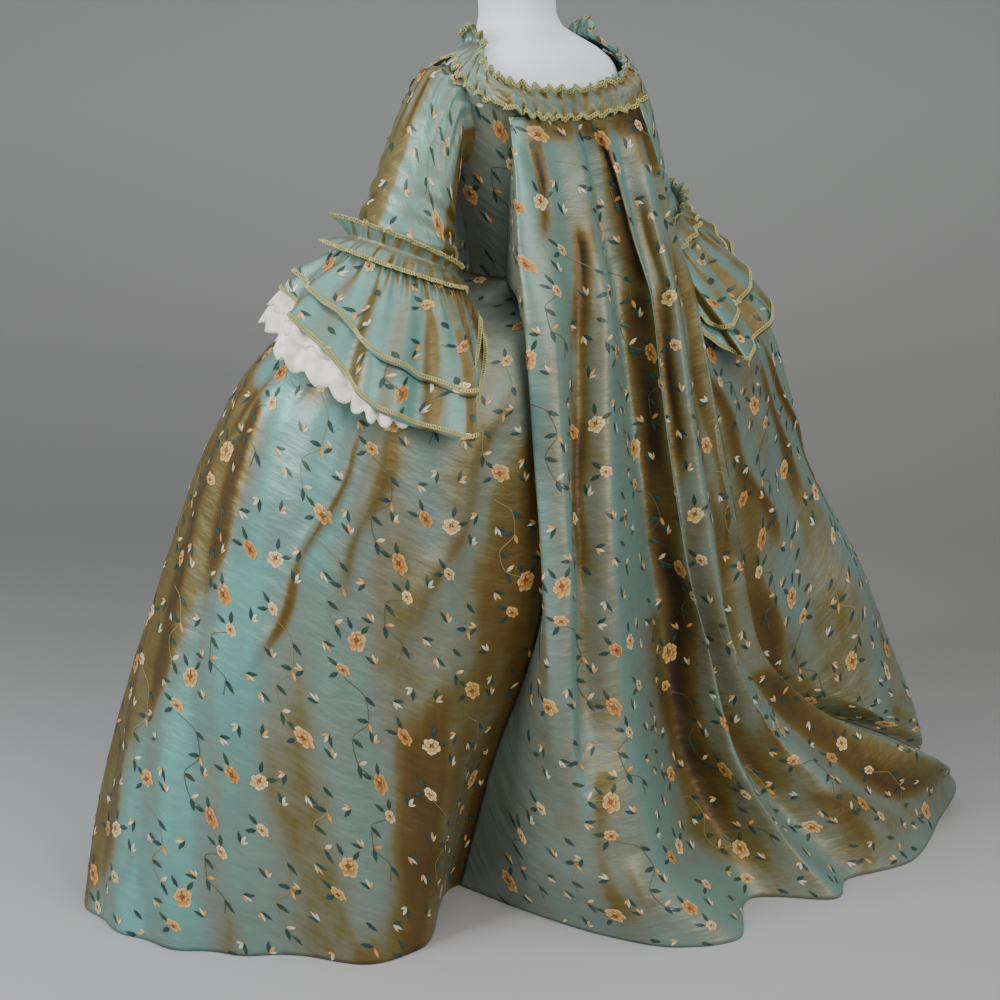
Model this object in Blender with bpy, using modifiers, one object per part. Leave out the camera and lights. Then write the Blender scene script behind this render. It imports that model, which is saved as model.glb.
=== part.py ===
"""A robe a la francaise, a sack-backed gown of the 1760s, standing on a limbless dress form.

Units are metres, +Z is up, the gown faces -Y and the wearer's left is +X. The origin is on
the floor under the middle of the form's foot. Every piece of cloth is a thin wall: a loft
through sections worked out from the tables below, given its thickness by Solidify. The
surface that each function returns is the outer face of its cloth.
"""
import math

import bpy
import numpy as np

# driving sizes
CLOTH = 0.002            # silk with its lining
LACE = 0.0015
TRIM = 0.0015            # a single layer of silk, gathered
SEAM = 0.0003            # what parts two pieces along a seam
ON_FORM = 0.0022         # the bodice's inner face off the form
SHOULDER_EASE = 1.6      # how much more it stands off where the shoulders slope
WAIST = 1.02
HEM = 0.0015
PETTICOAT_HEM = 0.05
PLEAT_TOP = 1.29         # where the back pleats are sewn down
FOOT_RADIUS = 0.14
FOOT_HEIGHT = 0.02
POLE_RADIUS = 0.016
TORSO_BOTTOM = 0.86
TORSO_POWER = 2.2        # how square the torso's sections are
FRONT_EDGE_HEM = 84.0    # degrees round the skirt to the robe's front edge at the hem

# dress form: height, half width, reach to the front, reach to the back
TORSO = (
    (0.860, 0.140, 0.120, 0.105),
    (0.950, 0.148, 0.122, 0.105),
    (1.020, 0.118, 0.112, 0.085),
    (1.100, 0.128, 0.138, 0.092),
    (1.200, 0.152, 0.185, 0.110),
    (1.260, 0.160, 0.180, 0.118),
    (1.310, 0.165, 0.146, 0.112),
    (1.350, 0.152, 0.108, 0.095),
    (1.375, 0.125, 0.080, 0.075),
    (1.395, 0.090, 0.090, 0.045),
)
# neck: height, radius, shift of its middle to the front
NECK = (
    (1.412, 0.070, 0.030),
    (1.435, 0.063, 0.036),
    (1.470, 0.063, 0.038),
    (1.495, 0.062, 0.038),
    (1.503, 0.052, 0.038),
)

# robe skirt: height, half width of the section
ROBE_WIDTH = (
    (1.020, 0.130), (1.012, 0.155), (1.000, 0.200), (0.985, 0.270), (0.970, 0.350),
    (0.950, 0.425), (0.920, 0.465), (0.865, 0.515), (0.800, 0.548), (0.720, 0.583),
    (0.640, 0.608), (0.560, 0.635), (0.480, 0.660), (0.400, 0.683), (0.320, 0.705),
    (0.240, 0.727), (0.160, 0.748), (0.080, 0.767), (0.000, 0.785),
)
ROBE_SHIFT = 0.15        # how far forward the widest point lies at the hem
ROBE_FRONT = 0.55        # reach to the front, of the half width
ROBE_BACK_WAIST = 0.46   # reach to the back, of the half width
ROBE_BACK_HEM = 0.60
WAIST_FRONT = 0.131      # least reach of the robe's skirt at the waist
WAIST_BACK = 0.107

# petticoat: height, half width, reach of its back from the middle plane
PETTICOAT = (
    (1.005, 0.1340, 0.0914), (0.990, 0.1700, 0.1060), (0.975, 0.2500, 0.1120),
    (0.955, 0.3600, 0.1170), (0.930, 0.4250, 0.1210), (0.890, 0.4750, 0.1240),
    (0.800, 0.5330, 0.1300), (0.640, 0.5950, 0.1380), (0.480, 0.6450, 0.1440),
    (0.320, 0.6850, 0.1500), (0.160, 0.7120, 0.1500), (0.050, 0.7300, 0.1500),
)

# folds of a side skirt, as degrees round from the front, each a soft ridge:
# turn at the hip, turn at the hem, half width at hip and hem, rise at hip, middle and hem
SIDE_FOLDS = (
    (38.0, 88.0, 5.0, 4.0, 0.008, 0.012, 0.010),
    (56.0, 100.0, 6.0, 5.0, 0.010, 0.014, 0.014),
    (74.0, 112.0, 6.0, 5.0, 0.010, 0.012, 0.016),
    (92.0, 124.0, 6.0, 4.0, 0.012, 0.016, 0.010),
    (112.0, 142.0, 7.0, 7.0, 0.012, 0.022, 0.048),
    (134.0, 156.0, 6.0, 5.0, 0.008, 0.010, 0.000),
)

# where the left side skirt turns in behind the back pleats:
# height, half-plane x where it starts to turn in, depth of the turn
NOTCH = (
    (1.02, 0.30, 0.000), (0.60, 0.32, 0.000), (0.50, 0.33, 0.012), (0.40, 0.34, 0.040),
    (0.25, 0.37, 0.090), (0.12, 0.40, 0.130), (0.00, 0.42, 0.165),
)

# the right side skirt runs out into the train: height, how far its back is drawn out
TRAIN_DRAW = (
    (1.02, 0.000), (0.66, 0.000), (0.50, 0.075), (0.40, 0.135), (0.27, 0.175), (0.19, 0.210),
    (0.10, 0.240), (0.00, 0.270),
)
TRAIN_DRAW_TURN = 118.0  # degrees round from the front to its middle
TRAIN_DRAW_WIDE = 22.0

# sack back and train: x of each fold line, by height
SACK_COLUMNS = ("seam_left", "edge_left", "ridge_1", "valley_1", "ridge_2", "valley_2",
                "ridge_3", "valley_3", "ridge_4", "valley_4", "edge_right", "seam_right")
SACK_X = (
    (1.29, 0.106, 0.130, 0.100, 0.065, 0.030, 0.000, -0.030, -0.065, -0.100, -0.118, -0.134, -0.106),
    (1.20, 0.106, 0.141, 0.096, 0.062, 0.020, -0.022, -0.052, -0.078, -0.110, -0.130, -0.150, -0.106),
    (1.10, 0.098, 0.153, 0.105, 0.060, 0.018, -0.040, -0.070, -0.092, -0.118, -0.142, -0.166, -0.098),
    (1.00, 0.096, 0.165, 0.124, 0.068, 0.028, -0.048, -0.078, -0.098, -0.124, -0.152, -0.184, -0.096),
    (0.80, 0.138, 0.180, 0.146, 0.098, 0.052, -0.048, -0.074, -0.096, -0.126, -0.158, -0.202, -0.150),
    (0.60, 0.150, 0.194, 0.164, 0.122, 0.080, -0.050, -0.080, -0.104, -0.134, -0.170, -0.220, -0.170),
    (0.40, 0.180, 0.210, 0.185, 0.145, 0.092, -0.078, -0.116, -0.138, -0.168, -0.202, -0.250, -0.215),
    (0.25, 0.214, 0.206, 0.190, 0.162, 0.096, -0.085, -0.130, -0.165, -0.230, -0.290, -0.370, -0.350),
    (0.12, 0.231, 0.216, 0.188, 0.150, 0.080, -0.108, -0.180, -0.230, -0.330, -0.440, -0.590, -0.600),
    (0.00, 0.245, 0.205, 0.155, 0.080, -0.015, -0.125, -0.244, -0.310, -0.430, -0.600, -0.765, -0.780),
)
# and y of the same fold lines; the two seams lie on the bodice and the side skirts
SACK_Y = (
    (1.29, 0.119, 0.130, 0.132, 0.131, 0.125, 0.131, 0.132, 0.130, 0.125, 0.115),
    (1.20, 0.150, 0.165, 0.158, 0.164, 0.130, 0.158, 0.145, 0.160, 0.152, 0.148),
    (1.10, 0.172, 0.192, 0.178, 0.192, 0.142, 0.184, 0.165, 0.186, 0.176, 0.172),
    (1.00, 0.205, 0.232, 0.208, 0.236, 0.170, 0.224, 0.200, 0.226, 0.212, 0.206),
    (0.80, 0.250, 0.280, 0.252, 0.285, 0.215, 0.272, 0.245, 0.275, 0.256, 0.250),
    (0.60, 0.296, 0.326, 0.300, 0.335, 0.262, 0.318, 0.288, 0.322, 0.300, 0.296),
    (0.40, 0.330, 0.360, 0.342, 0.370, 0.285, 0.352, 0.312, 0.356, 0.326, 0.320),
    (0.25, 0.330, 0.385, 0.400, 0.420, 0.318, 0.400, 0.345, 0.400, 0.350, 0.345),
    (0.12, 0.315, 0.400, 0.440, 0.465, 0.370, 0.470, 0.410, 0.460, 0.425, 0.445),
    (0.00, 0.275, 0.404, 0.510, 0.550, 0.462, 0.547, 0.510, 0.530, 0.450, 0.318),
)
# heights of the rows that the sack and the side skirts share, so that their seams match
SKIRT_ROWS = (1.018, 1.003, 0.985, 0.965, 0.940, 0.900, 0.840, 0.760, 0.660, 0.550, 0.440,
              0.340, 0.250, 0.170, 0.100, 0.040, HEM)
BACK_ROWS = (1.290, 1.250, 1.200, 1.140, 1.075)

# bodice: degrees round from the front, height of the neckline there
NECKLINE = ((48.0, 1.270), (58.0, 1.335), (70.0, 1.360), (90.0, 1.368), (105.0, 1.360),
            (120.0, 1.341), (140.0, 1.316), (160.0, 1.302), (180.0, 1.297))
# height, degrees round from the front to the robe's front edge
FRONT_EDGE = ((1.02, 23.0), (1.10, 35.0), (1.20, 49.0), (1.28, 54.0), (1.34, 61.0), (1.36, 69.0))
BODICE_ROWS = (1.021, 1.060, 1.100, 1.150, 1.200, 1.240, 1.275, 1.318, 1.360)
STOMACHER_ROWS = 7       # of these, up to its top edge
STOMACHER_IN = 0.25      # degrees it stops short of the fronts
SIDE_SEAM = 0.08         # degrees each panel stops short of a seam
ARMHOLE = (1.272, 0.052, 0.076)          # height of its middle, half width, half height

# sleeve, left: share of its length, middle x, y, z, puff of the section
SLEEVE = (
    (0.00, 0.150, 0.000, 1.276, 1.00),
    (0.10, 0.176, 0.000, 1.277, 1.06),
    (0.25, 0.200, 0.002, 1.242, 1.12),
    (0.50, 0.226, 0.007, 1.180, 1.06),
    (0.75, 0.248, 0.013, 1.120, 1.00),
    (1.00, 0.268, 0.020, 1.066, 1.00),
)
SLEEVE_FRONT = ((0.000, -0.057, 0.000), (0.012, -0.080, 0.005))   # start, end
SLEEVE_OUTER = ((0.000, 0.000, 0.081), (0.074, -0.008, 0.030))
RIGHT_ARM_IN = 0.040     # the right arm hangs this much nearer the body
RIGHT_HEM_IN = 0.030     # and the foot of its flounces by this much
RIGHT_REACH = (0.84, 0.84, 0.60)   # its three tiers, as shares of the left ones' length
HEAD_FOLDS = 9           # gathers round the sleeve's head
HEAD_FOLD_RISE = 0.004

# sheet of the flounces, left: degrees round the sleeve from its front, x, y, z at its foot,
# then how far down it the upper flounce, the lower one and the lace reach
FLOUNCE = (
    (0.0, 0.335, -0.170, 1.004, 0.64, 0.88, 1.42),
    (45.0, 0.392, -0.130, 0.992, 0.60, 0.84, 1.40),
    (90.0, 0.474, 0.035, 0.958, 0.52, 0.78, 1.14),
    (135.0, 0.416, 0.170, 0.876, 0.66, 0.98, 1.08),
    (180.0, 0.318, 0.234, 0.840, 0.73, 1.00, 0.84),
    (225.0, 0.256, 0.212, 0.900, 0.74, 0.98, 0.60),
    (250.0, 0.224, 0.166, 0.945, 0.80, 0.96, 0.66),
    (288.0, 0.225, -0.070, 0.975, 0.80, 1.00, 1.00),
    (318.0, 0.272, -0.112, 0.995, 0.72, 0.94, 1.20),
)
FLOUNCE_TURNS = (-72.0, 240.0)            # they die away at the inside of the elbow
FLUTES = 8
FLUTE_RISE = 0.015
TIER_STEP = (0.0030, 0.0050)   # from one tier of flounces to the next, at top and lower down
SLEEVE_RUFFLE_WAVES = 14
NECK_RUFFLE_WAVES = 22
FRONT_RUFFLE_WAVES = 11
FRONT_RUFFLE_STAND = 0.034   # how much more its outer edge stands out at the bust
SLEEVE_RUFFLE_EDGES = (0.89, 0.07)       # how far down the sleeve it starts, and down the flounces ends
# rows of the neck ruffle: rise over the neckline, stand off the bodice, swing of its waves
NECK_RUFFLE_ROWS = ((-0.018, 0.005, 0.007), (0.004, 0.0032, 0.001), (0.033, 0.007, 0.008))


def smooth(keys, values, at):
    """Reads a table's column at any key, on a curve that never overshoots the table."""
    keys, values = np.asarray(keys, float), np.asarray(values, float)
    if keys[0] > keys[-1]:
        keys, values = keys[::-1], values[::-1]
    at = np.clip(np.asarray(at, float), keys[0], keys[-1])
    step = np.diff(keys)
    slope = np.diff(values) / step
    tangent = np.empty_like(values)
    product = slope[:-1] * slope[1:]
    total = np.where(product > 0, slope[:-1] + slope[1:], 1.0)
    tangent[1:-1] = np.where(product > 0, 2 * product / total, 0.0)
    tangent[0], tangent[-1] = slope[0], slope[-1]
    i = np.clip(np.searchsorted(keys, at, side="right") - 1, 0, len(keys) - 2)
    t = (at - keys[i]) / step[i]
    return (values[i] * (2 * t**3 - 3 * t**2 + 1) + values[i + 1] * (3 * t**2 - 2 * t**3)
            + step[i] * (tangent[i] * (t**3 - 2 * t**2 + t) + tangent[i + 1] * (t**3 - t**2)))


def column(table, index, at):
    """A table's column at a key, where the key is the table's first column."""
    return smooth([row[0] for row in table], [row[index] for row in table], at)


def around(table, index, turn):
    """The same for a table that runs once round, in degrees."""
    keys = [row[0] for row in table]
    values = [row[index] for row in table]
    keys = [keys[-2] - 360, keys[-1] - 360] + keys + [keys[0] + 360, keys[1] + 360]
    values = values[-2:] + values + values[:2]
    return smooth(keys, values, np.mod(turn, 360.0))


def ease(t):
    """Rises smoothly from 0 to 1."""
    t = np.clip(t, 0.0, 1.0)
    return t * t * (3 - 2 * t)


def skirt_section(z):
    """Half width, shift forward, and reach to front and back of the robe's skirt."""
    half = column(ROBE_WIDTH, 1, z)
    fall = 1 - z / WAIST
    shift = -ROBE_SHIFT * fall
    front = np.maximum(ROBE_FRONT * half, WAIST_FRONT)
    back = np.maximum((ROBE_BACK_WAIST + (ROBE_BACK_HEM - ROBE_BACK_WAIST) * fall) * half, WAIST_BACK)
    return half, shift, front, back


def skirt_folds(turn, z):
    """How far the side skirt's folds stand out from its plain section."""
    fall = 1 - z / WAIST
    rise = 0.0
    for hip, hem, wide_hip, wide_hem, rise_hip, rise_middle, rise_hem in SIDE_FOLDS:
        middle = hip + (hem - hip) * fall
        wide = wide_hip + (wide_hem - wide_hip) * fall
        height = smooth((0.0, 0.5, 0.9, WAIST), (rise_hem, rise_middle, rise_hip, 0.0), z)
        rise = rise + height * np.exp(-((turn - middle) / wide) ** 2)
    return rise


def side_skirt(u, z, side):
    """Point of a side skirt: u runs from its front edge (0) to its seam with the back (1)."""
    half, shift, front, back = skirt_section(z)
    seam_x = abs(column(SACK_X, 1 if side > 0 else len(SACK_COLUMNS), z))
    start = FRONT_EDGE[0][1] + 3 + (FRONT_EDGE_HEM - FRONT_EDGE[0][1] - 3) * (1 - z / WAIST) ** 0.9
    end = 180 - math.degrees(math.asin(min(seam_x / half, 1.0)))
    turn = start + (end - start) * u
    angle = np.radians(turn)
    x = half * np.sin(angle)
    y = np.where(turn < 90, shift - front * np.cos(angle), shift - back * np.cos(angle))
    normal = np.stack([np.sin(angle) / half, -np.cos(angle) / np.where(turn < 90, front, back)], -1)
    normal /= np.linalg.norm(normal, axis=-1, keepdims=True)
    rise = skirt_folds(turn, z) * ease((1 - u) / 0.10)
    x = x + normal[..., 0] * rise
    y = y + normal[..., 1] * rise
    if side > 0:
        opening, depth = column(NOTCH, 1, z), column(NOTCH, 2, z)
        y = y - depth * ease((opening - x) / (opening - seam_x))
    else:
        drawn = np.exp(-((turn - TRAIN_DRAW_TURN) / TRAIN_DRAW_WIDE) ** 2)
        y = y + column(TRAIN_DRAW, 1, z) * drawn * ease((turn - 80) / 30)
    return np.stack([side * x, y, np.full_like(x, z)], -1)


def torso(turn, z, out):
    """Point of the form's section, moved out; turn is degrees round from the front."""
    half, front, back = (column(TORSO, i, z) + out for i in (1, 2, 3))
    angle = np.radians(turn)
    power = 2 / TORSO_POWER
    sine, cosine = np.sin(angle), np.cos(angle)
    x = half * np.sign(sine) * np.abs(sine) ** power
    y = -np.where(cosine > 0, front, back) * np.sign(cosine) * np.abs(cosine) ** power
    return np.stack([x, y, np.zeros_like(x) + z], -1)


def torso_back(x, z, out):
    """The y of the torso's back at a given x."""
    half, back = column(TORSO, 1, z) + out, column(TORSO, 3, z) + out
    return back * (1 - (abs(x) / half) ** TORSO_POWER) ** (1 / TORSO_POWER)


def torso_side(y, z, out):
    """The x of the torso's left side at a given y."""
    half = column(TORSO, 1, z) + out
    reach = np.where(y < 0, column(TORSO, 2, z), column(TORSO, 3, z)) + out
    return half * (1 - (np.abs(y) / reach) ** TORSO_POWER) ** (1 / TORSO_POWER)


def bodice_out(z):
    """The bodice's outer face off the form, measured level; more where the shoulder slopes."""
    return (ON_FORM + CLOTH) * (1 + SHOULDER_EASE * ease((z - 1.27) / 0.07))


def sack_seam(z, side):
    """Where the sack back is sewn down, on the bodice above the waist or to a side skirt."""
    if z > WAIST - 0.001:
        x = abs(column(SACK_X, 1 if side > 0 else len(SACK_COLUMNS), z))
        return np.array([side * x, torso_back(x, z, bodice_out(z)) + 0.0020, z])
    point = side_skirt(np.array([1.0]), z, side)[0]
    return point + np.array([-side * 2 * SEAM, 2 * SEAM, 0.0])


def sack(u, z):
    """Row of the sack back at height z; u counts the fold lines from 0, the left seam."""
    last = len(SACK_COLUMNS) - 1
    xs = [column(SACK_X, i + 1, z) for i in range(last + 1)]
    ys = [column(SACK_Y, i, z) for i in range(1, last)]
    left, right = sack_seam(z, 1), sack_seam(z, -1)
    xs[0], xs[last] = left[0], right[0]
    ys = [left[1]] + ys + [right[1]]
    lines = np.arange(last + 1)
    return np.stack([smooth(lines, xs, u), smooth(lines, ys, u), np.full_like(u, z)], -1)


def sleeve(turn, t, side, out=0.0):
    """Point of a sleeve: turn is degrees from its front over its outer side, t runs down it."""
    middle = np.array([column(SLEEVE, i, t) for i in (1, 2, 3)])
    puff = column(SLEEVE, 4, t)
    front = np.array(SLEEVE_FRONT[0]) * (1 - t) + np.array(SLEEVE_FRONT[1]) * t
    outer = np.array(SLEEVE_OUTER[0]) * (1 - t) + np.array(SLEEVE_OUTER[1]) * t
    angle = np.radians(turn)[..., None]
    arm = front * np.cos(angle) + outer * np.sin(angle)
    length = np.linalg.norm(arm, axis=-1, keepdims=True)
    gathers = HEAD_FOLD_RISE * ease(t / 0.08) * ease((0.5 - t) / 0.4) * np.cos(HEAD_FOLDS * 2 * angle)
    gathers = gathers * ease((np.sin(angle) + 0.3) / 0.8)
    point = middle + arm * (puff + (gathers + out) / length)
    if t < 0.001:
        point[..., 0] = torso_side(point[..., 1], point[..., 2], bodice_out(point[..., 2])) + 0.0013
    point = point * np.array([side, 1, 1])
    if side < 0:
        point[..., 0] += RIGHT_ARM_IN * ease(t)
    return point


def tier_step(reach):
    """How far apart two tiers of flounces hang."""
    return TIER_STEP[0] + TIER_STEP[1] * ease(reach * 2.5)


def flounce_sheet(turn, reach, side):
    """The outermost tier's sheet, and the way out of it; reach is 1 at the lower hem."""
    ring = sleeve(turn, 1.0, side)
    middle = sleeve(np.arange(0, 360, 15.0), 1.0, side).mean(axis=0)
    shift = RIGHT_HEM_IN if side < 0 else 0.0
    hem = np.stack([side * around(FLOUNCE, 1, turn) + shift, around(FLOUNCE, 2, turn),
                    around(FLOUNCE, 3, turn)], -1)
    away = ring - middle
    away /= np.linalg.norm(away, axis=-1, keepdims=True)
    down = hem - ring
    full = np.linalg.norm(down, axis=-1)
    bulge = 0.14 * full * np.sin(math.pi * np.clip(reach / 1.5, 0, 1))
    flutes = FLUTE_RISE * ease(reach * 1.3) * np.clip(full / 0.15, 0.1, 1)
    flutes = flutes * np.cos(FLUTES * np.radians(turn))
    points = ring + down * reach[..., None] + away * (bulge + flutes)[..., None]
    points[..., 2] -= 0.0007
    return points, away


def flounce(turn, t, side, length, tier):
    """Row of a flounce: t runs from its gathered edge to its hem; tier 1 and 2 lie inside 0."""
    start, end = FLOUNCE_TURNS
    taper = 0.2 + 0.8 * ease((turn - start) / 50) * ease((end - turn) / 45)
    reach = t * length(turn) * taper
    near = flounce_sheet(turn, reach, side)[0]
    along = flounce_sheet(turn + 2.0, reach, side)[0] - flounce_sheet(turn - 2.0, reach, side)[0]
    down = flounce_sheet(turn, reach + 0.08, side)[0] - near
    normal = np.cross(down, along) * side
    normal /= np.linalg.norm(normal, axis=-1, keepdims=True)
    return near - normal * (tier * tier_step(reach))[:, None]


def collection(name):
    """A new collection under the scene's own."""
    made = bpy.data.collections.new(name)
    bpy.context.scene.collection.children.link(made)
    return made


def material(name, colour, roughness, metallic=0.0):
    """A Principled finish; the colour is an sRGB hex value."""
    made = bpy.data.materials.new(name)
    made.use_nodes = True
    shader = made.node_tree.nodes["Principled BSDF"]
    parts = [int(colour[i:i + 2], 16) / 255 for i in (0, 2, 4)]
    linear = [c / 12.92 if c <= 0.04045 else ((c + 0.055) / 1.055) ** 2.4 for c in parts]
    shader.inputs["Base Color"].default_value = (*linear, 1.0)
    shader.inputs["Roughness"].default_value = roughness
    shader.inputs["Metallic"].default_value = metallic
    return made


def mesh_object(name, points, faces, finish, home):
    """A named object from points and faces, shaded smooth but for its sharp edges."""
    mesh = bpy.data.meshes.new(name)
    mesh.from_pydata([tuple(p) for p in points], [], faces)
    mesh.materials.append(finish)
    mesh.shade_smooth()
    mesh.set_sharp_from_angle(angle=math.radians(50))
    made = bpy.data.objects.new(name, mesh)
    home.objects.link(made)
    return made


def wall(name, rows, thick, finish, home, closed=False, flip=False):
    """Cloth from rows of points, each row as long as the next, thickened inwards."""
    rows = np.asarray(rows)
    count, across = rows.shape[:2]
    faces = []
    for r in range(count - 1):
        for c in range(across if closed else across - 1):
            d = (c + 1) % across
            face = [r * across + c, r * across + d, (r + 1) * across + d, (r + 1) * across + c]
            faces.append(face[::-1] if flip else face)
    made = mesh_object(name, rows.reshape(-1, 3), faces, finish, home)
    solid = made.modifiers.new("thickness", "SOLIDIFY")
    solid.thickness = thick
    solid.offset = -1
    return made


def loft(name, rings, finish, home):
    """A closed solid through rings of points, with a flat face at each end."""
    rings = np.asarray(rings)
    count, around_count = rings.shape[:2]
    faces = [tuple(range(around_count))[::-1]]
    for r in range(count - 1):
        for c in range(around_count):
            d = (c + 1) % around_count
            faces.append((r * around_count + c, r * around_count + d,
                          (r + 1) * around_count + d, (r + 1) * around_count + c))
    faces.append(tuple(range((count - 1) * around_count, count * around_count)))
    return mesh_object(name, rings.reshape(-1, 3), faces, finish, home)


def turned(name, radius, low, high, edge, finish, home):
    """A turned disc or pole, its edges eased."""
    bpy.ops.mesh.primitive_cylinder_add(vertices=24, radius=radius, depth=high - low,
                                        location=(0, 0, (low + high) / 2))
    made = bpy.context.object
    made.name = name
    for old in made.users_collection:
        old.objects.unlink(made)
    home.objects.link(made)
    made.data.materials.append(finish)
    if edge:
        bevel = made.modifiers.new("eased edge", "BEVEL")
        bevel.width = edge
        bevel.segments = 1
        bevel.limit_method = "ANGLE"
    return made


for old in list(bpy.data.objects):
    bpy.data.objects.remove(old)
gown = collection("robe_francaise")
cutters = collection("cutters")
silk = material("shot silk taffeta", "5F7F78", 0.38)
cotton = material("white cotton lace", "F2EFE6", 0.85)
jersey = material("white cotton jersey", "DDE2E8", 0.8)
steel = material("painted steel", "3A3B3D", 0.45, 0.6)


def build_form():
    """The limbless form: torso with its neck, pole and round foot."""
    turns = np.arange(0, 360, 15.0)
    rings = []
    for z in (0.860, 0.900, 0.950, 0.985, 1.020, 1.060, 1.100, 1.150, 1.200, 1.235, 1.270,
              1.305, 1.335, 1.360, 1.378, 1.395):
        rings.append(torso(-turns, z, 0.0)[::-1])
    for z, radius, shift in NECK:
        angle = np.radians(-turns[::-1])
        rings.append(np.stack([radius * np.sin(angle), -radius * np.cos(angle) - shift,
                               np.full_like(angle, z)], -1))
    loft("form_torso", rings, jersey, gown)
    turned("form_pole", POLE_RADIUS, FOOT_HEIGHT + SEAM, TORSO_BOTTOM - SEAM, 0, steel, gown)
    turned("form_foot", FOOT_RADIUS, 0.0, FOOT_HEIGHT, 0.004, steel, gown)


def build_petticoat():
    """Two panels with side seams, hung from the waist inside the robe."""
    heights = (1.003, 0.990, 0.975, 0.955, 0.920, 0.860, 0.740, 0.560, 0.320, PETTICOAT_HEM)
    for name, start, end in (("petticoat_front", -90, 90), ("petticoat_back", 90, 270)):
        turns = np.linspace(start, end, 15)
        rows = []
        for z in heights:
            half, reach = column(PETTICOAT, 1, z), column(PETTICOAT, 2, z)
            shift = -0.13 * (1 - z / WAIST)
            front = max(ROBE_FRONT * half - 0.012, 0.1235)
            angle = np.radians(turns)
            deep = np.where(np.cos(angle) > 0, front, reach - shift)
            parted = 0.0008 if end > 180 else -0.0008
            rows.append(np.stack([half * np.sin(angle), shift - deep * np.cos(angle) + parted,
                                  np.full_like(angle, z)], -1))
        wall(name, rows, CLOTH, silk, gown, flip=True)


def build_skirts():
    """The robe's two side skirts and the sack back with its train."""
    for name, side in (("robe_skirt_left", 1), ("robe_skirt_right", -1)):
        u = np.linspace(0, 1, 19)
        rows = [side_skirt(u, z, side) for z in SKIRT_ROWS]
        wall(name, rows, CLOTH, silk, gown, flip=side > 0)
    steps = 3
    u = np.linspace(0, len(SACK_COLUMNS) - 1, steps * (len(SACK_COLUMNS) - 1) + 1)
    rows = [sack(u, z) for z in BACK_ROWS + SKIRT_ROWS]
    wall("sack_back", rows, CLOTH, silk, gown, flip=True)


def armhole_cutter(side):
    """The oval that opens an armhole in the bodice's wall."""
    height, half_width, half_height = ARMHOLE
    turns = np.radians(np.arange(0, 360, 20.0))
    rings = []
    for x in (0.09, 0.22):
        rings.append(np.stack([np.full_like(turns, side * x), side * half_width * np.cos(turns),
                               height + half_height * np.sin(turns)], -1))
    cutter = loft("armhole_left" if side > 0 else "armhole_right", rings, silk, cutters)
    cutter.hide_render = True
    cutter.display_type = "WIRE"
    return cutter


def build_bodice():
    """Fronts, backs and stomacher, fitted to the form, with open armholes."""
    gap = SIDE_SEAM
    for side, word in ((1, "left"), (-1, "right")):
        cutter = armhole_cutter(side)
        mirror = np.array([side, 1, 1])
        rows = []
        for z in BODICE_ROWS:
            turns = np.linspace(column(FRONT_EDGE, 1, z), 90 - gap, 7)
            height = np.minimum(z, column(NECKLINE, 1, turns))
            rows.append(torso_rows(turns, height) * mirror)
        front = wall("bodice_front_" + word, rows, CLOTH, silk, gown, flip=side < 0)
        rows = []
        for v in np.linspace(0, 1, 8):
            turns = np.linspace(90 + gap, 180 - gap, 9)
            waist = BODICE_ROWS[0]
            height = waist + v * (column(NECKLINE, 1, turns) - waist)
            rows.append(torso_rows(turns, height) * mirror)
        back = wall("bodice_back_" + word, rows, CLOTH, silk, gown, flip=side < 0)
        for panel in (front, back):
            cut = panel.modifiers.new("armhole", "BOOLEAN")
            cut.operation = "DIFFERENCE"
            cut.solver = "EXACT"
            cut.object = cutter
    rows = []
    for z in BODICE_ROWS[:STOMACHER_ROWS]:
        edge = column(FRONT_EDGE, 1, z) - STOMACHER_IN
        rows.append(torso_rows(np.linspace(-edge, edge, 9), np.full(9, z)))
    wall("stomacher", rows, CLOTH, silk, gown)


def torso_rows(turns, heights):
    """Points of the bodice's outer face at these turns, each at its own height."""
    return np.array([torso(np.array(t), h, bodice_out(h)) for t, h in zip(turns, heights)])


def build_sleeves():
    """Sleeves with gathered heads, their ruffles, two flounces each and the lace."""
    turns = np.arange(0, 360, 18.0)
    start, end = FLOUNCE_TURNS
    fine = np.linspace(start, end, round(FLUTES * 4 * (end - start) / 360) + 1)
    tiers = (
        ("flounce_upper_", lambda turn: around(FLOUNCE, 4, turn), 0, CLOTH, silk, 2),
        ("flounce_lower_", lambda turn: around(FLOUNCE, 5, turn), 1, CLOTH, silk, 4),
        ("sleeve_lace_", lambda turn: around(FLOUNCE, 6, turn), 2, LACE, cotton, 5),
    )
    for side, word in ((1, "left"), (-1, "right")):
        rows = [sleeve(turns, t, side) for t in (0, 0.05, 0.12, 0.24, 0.42, 0.62, 0.82, 1.0)]
        wall("sleeve_" + word, rows, CLOTH, silk, gown, closed=True, flip=side > 0)
        for name, length, tier, thick, finish, count in tiers:
            share = RIGHT_REACH[tier] if side < 0 else 1.0
            steps = np.linspace(0, share, count + 1)
            rows = [flounce(fine, t, side, length, tier) for t in steps]
            wall(name + word, rows, thick, finish, gown, flip=side > 0)
        build_sleeve_ruffle(word, side)


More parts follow.
